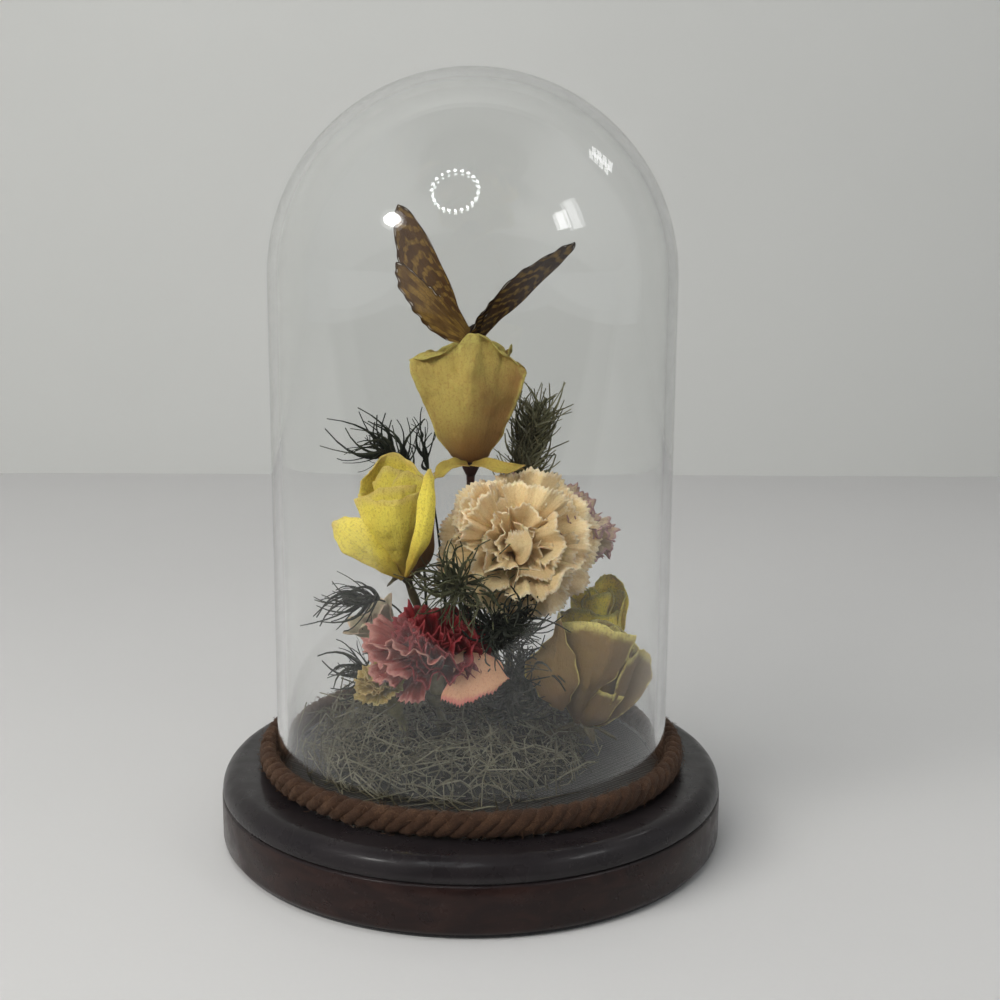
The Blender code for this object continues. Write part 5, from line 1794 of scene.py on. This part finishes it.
class DOME_OT_stage(bpy.types.Operator):
    """Lay the floor and backdrop, hang the lamps and set the camera."""
    bl_idname = "dome.stage"
    bl_label = "Stage, lamps and camera"

    def execute(self, context):
        settings = context.scene.dome_stage
        back = settings.wall_distance
        floor = pale_ground("pale_table", settings.floor_color)
        near_floor = pale_ground("pale_table_front", settings.floor_color, mirrored=0.1)
        wall = pale_ground("pale_wall", settings.wall_color)
        for name, start, end, finish in (("floor", (TABLE_EDGE, 0), (back, 0), floor),
                                         ("backdrop", (back, 0), (back, 2.2), wall),
                                         ("near_floor", (-3, 0), (TABLE_EDGE, 0), near_floor)):
            mesh = new_mesh(name, [(x, y, z) for x in (-2.6, 2.6) for y, z in (start, end)], [(0, 2, 3, 1)])
            mesh.shade_smooth()
            place_mesh(name, mesh, finish)

        for name, (place, wide, tall, share, color) in SOFT_LAMPS.items():
            lamp = area_lamp(name, place, (0, 0, 0.10), wide, tall, settings.key_power * share, color)
            lamp.visible_glossy = False
            lamp.visible_transmission = False
        spot, toward, place = glint((-4.5, -52.2, 184.7), (-0.154, -0.645, 0.749))
        side = toward.cross(Vector((0, 0, 1))).normalized()
        above = side.cross(toward)
        for k in range(RING_LAMPS):
            turn = TURN * k / RING_LAMPS
            on_ring = place + (side * math.cos(turn) + above * math.sin(turn)) * 0.125
            area_lamp("ring_lamp_%02d" % k, on_ring, spot, 0.018, 0.018, 0.024, (0.93, 0.985, 1), 'DISK')
        spot, toward, place = glint((-19.7, -51.2, 177.8), (-0.659, -0.566, 0.495))
        area_lamp("oval_lamp", place, spot, 0.105, 0.07, 0.5, WARM_WHITE, 'ELLIPSE')
        area_lamp("oval_lamp_shade", spot + toward * 0.602, spot, 0.15, 0.11, 0.09, WARM_WHITE, 'ELLIPSE')
        spot, toward, place = glint((24.8, -48.4, 179.5), (0.773, -0.372, 0.514))
        area_lamp("wedge_lamp_a", place, spot, 0.085, 0.15, 0.16)
        area_lamp("wedge_lamp_b", place + Vector((-0.045, -0.075, -0.02)), spot, 0.07, 0.09, 0.15)
        spot, toward, place = glint((32.3, -35.1, 193.3), (0.69, 0.342, 0.637))
        for k in range(4):
            area_lamp("slat_lamp_%d" % k, place + Vector((0, 0, 0.034 * (k - 1.5))), spot, 0.07, 0.020, 0.02)

        world = bpy.data.worlds.new("soft_room")
        world.use_nodes = True
        sky = NodeTree(world.node_tree)
        background = world.node_tree.nodes["Background"]
        background.inputs["Color"].default_value = (0.86, 0.88, 0.90, 1)
        aside = sky.smooth(abs(sky.split(sky.out("ShaderNodeTexCoord", output="Generated"))[0]),
                           0.22, 0.62, 0.05, 0.52)
        bounced = sky.math('MINIMUM', sky.out("ShaderNodeLightPath", output="Glossy Depth"), 1.0)
        strength = sky.math('MULTIPLY_ADD', bounced, aside - ROOM_LIGHT, ROOM_LIGHT)
        sky.feed(background.inputs["Strength"], strength)
        context.scene.world = world
        context.scene.view_settings.view_transform = "Standard"

        lens = bpy.data.cameras.new("camera")
        lens.lens = settings.focal_length
        lens.sensor_width = 36
        camera = bpy.data.objects.new("camera", lens)
        context.scene.collection.objects.link(camera)
        pitch, yaw, roll = CAMERA_TURNS
        ahead = Vector((math.sin(yaw) * math.cos(pitch), math.cos(yaw) * math.cos(pitch), -math.sin(pitch)))
        level = ahead.cross(Vector((0, 0, 1))).normalized()
        upright = level.cross(ahead)
        right = level * math.cos(roll) + upright * math.sin(roll)
        up = upright * math.cos(roll) - level * math.sin(roll)
        camera.matrix_world = (Matrix.Translation(CAMERA_PLACE)
                               @ Matrix((right, up, -ahead)).transposed().to_4x4())
        context.scene.camera = camera
        return {'FINISHED'}


OPERATORS = (DOME_OT_base, DOME_OT_disc, DOME_OT_trim, DOME_OT_moss, DOME_OT_ferns, DOME_OT_roses,
             DOME_OT_carnations, DOME_OT_small_flowers, DOME_OT_butterfly, DOME_OT_glass, DOME_OT_stage)


class DOME_PT_panel(bpy.types.Panel):
    """Lists the makers of each piece with their settings."""
    bl_idname = "DOME_PT_panel"
    bl_label = "Butterfly Dome"
    bl_space_type = 'VIEW_3D'
    bl_region_type = 'UI'
    bl_category = "Dome"

    def draw(self, context):
        layout = self.layout
        for kind in OPERATORS:
            layout.operator(kind.bl_idname)
        for key in SETTINGS:
            box = layout.box()
            group = getattr(context.scene, key)
            box.label(text=key.replace("dome_", "").capitalize())
            for prop in group.bl_rna.properties:
                if prop.identifier not in {"rna_type", "name"}:
                    box.prop(group, prop.identifier)


def register():
    for kind in (*SETTINGS.values(), *OPERATORS, DOME_PT_panel):
        bpy.utils.register_class(kind)
    for key, kind in SETTINGS.items():
        setattr(bpy.types.Scene, key, bpy.props.PointerProperty(type=kind))


def unregister():
    for key in SETTINGS:
        delattr(bpy.types.Scene, key)
    for kind in reversed((*SETTINGS.values(), *OPERATORS, DOME_PT_panel)):
        bpy.utils.unregister_class(kind)


def main():
    register()
    for kind in OPERATORS:
        group, action = kind.bl_idname.split(".")
        getattr(getattr(bpy.ops, group), action)()


if __name__ == "__main__":
    main()
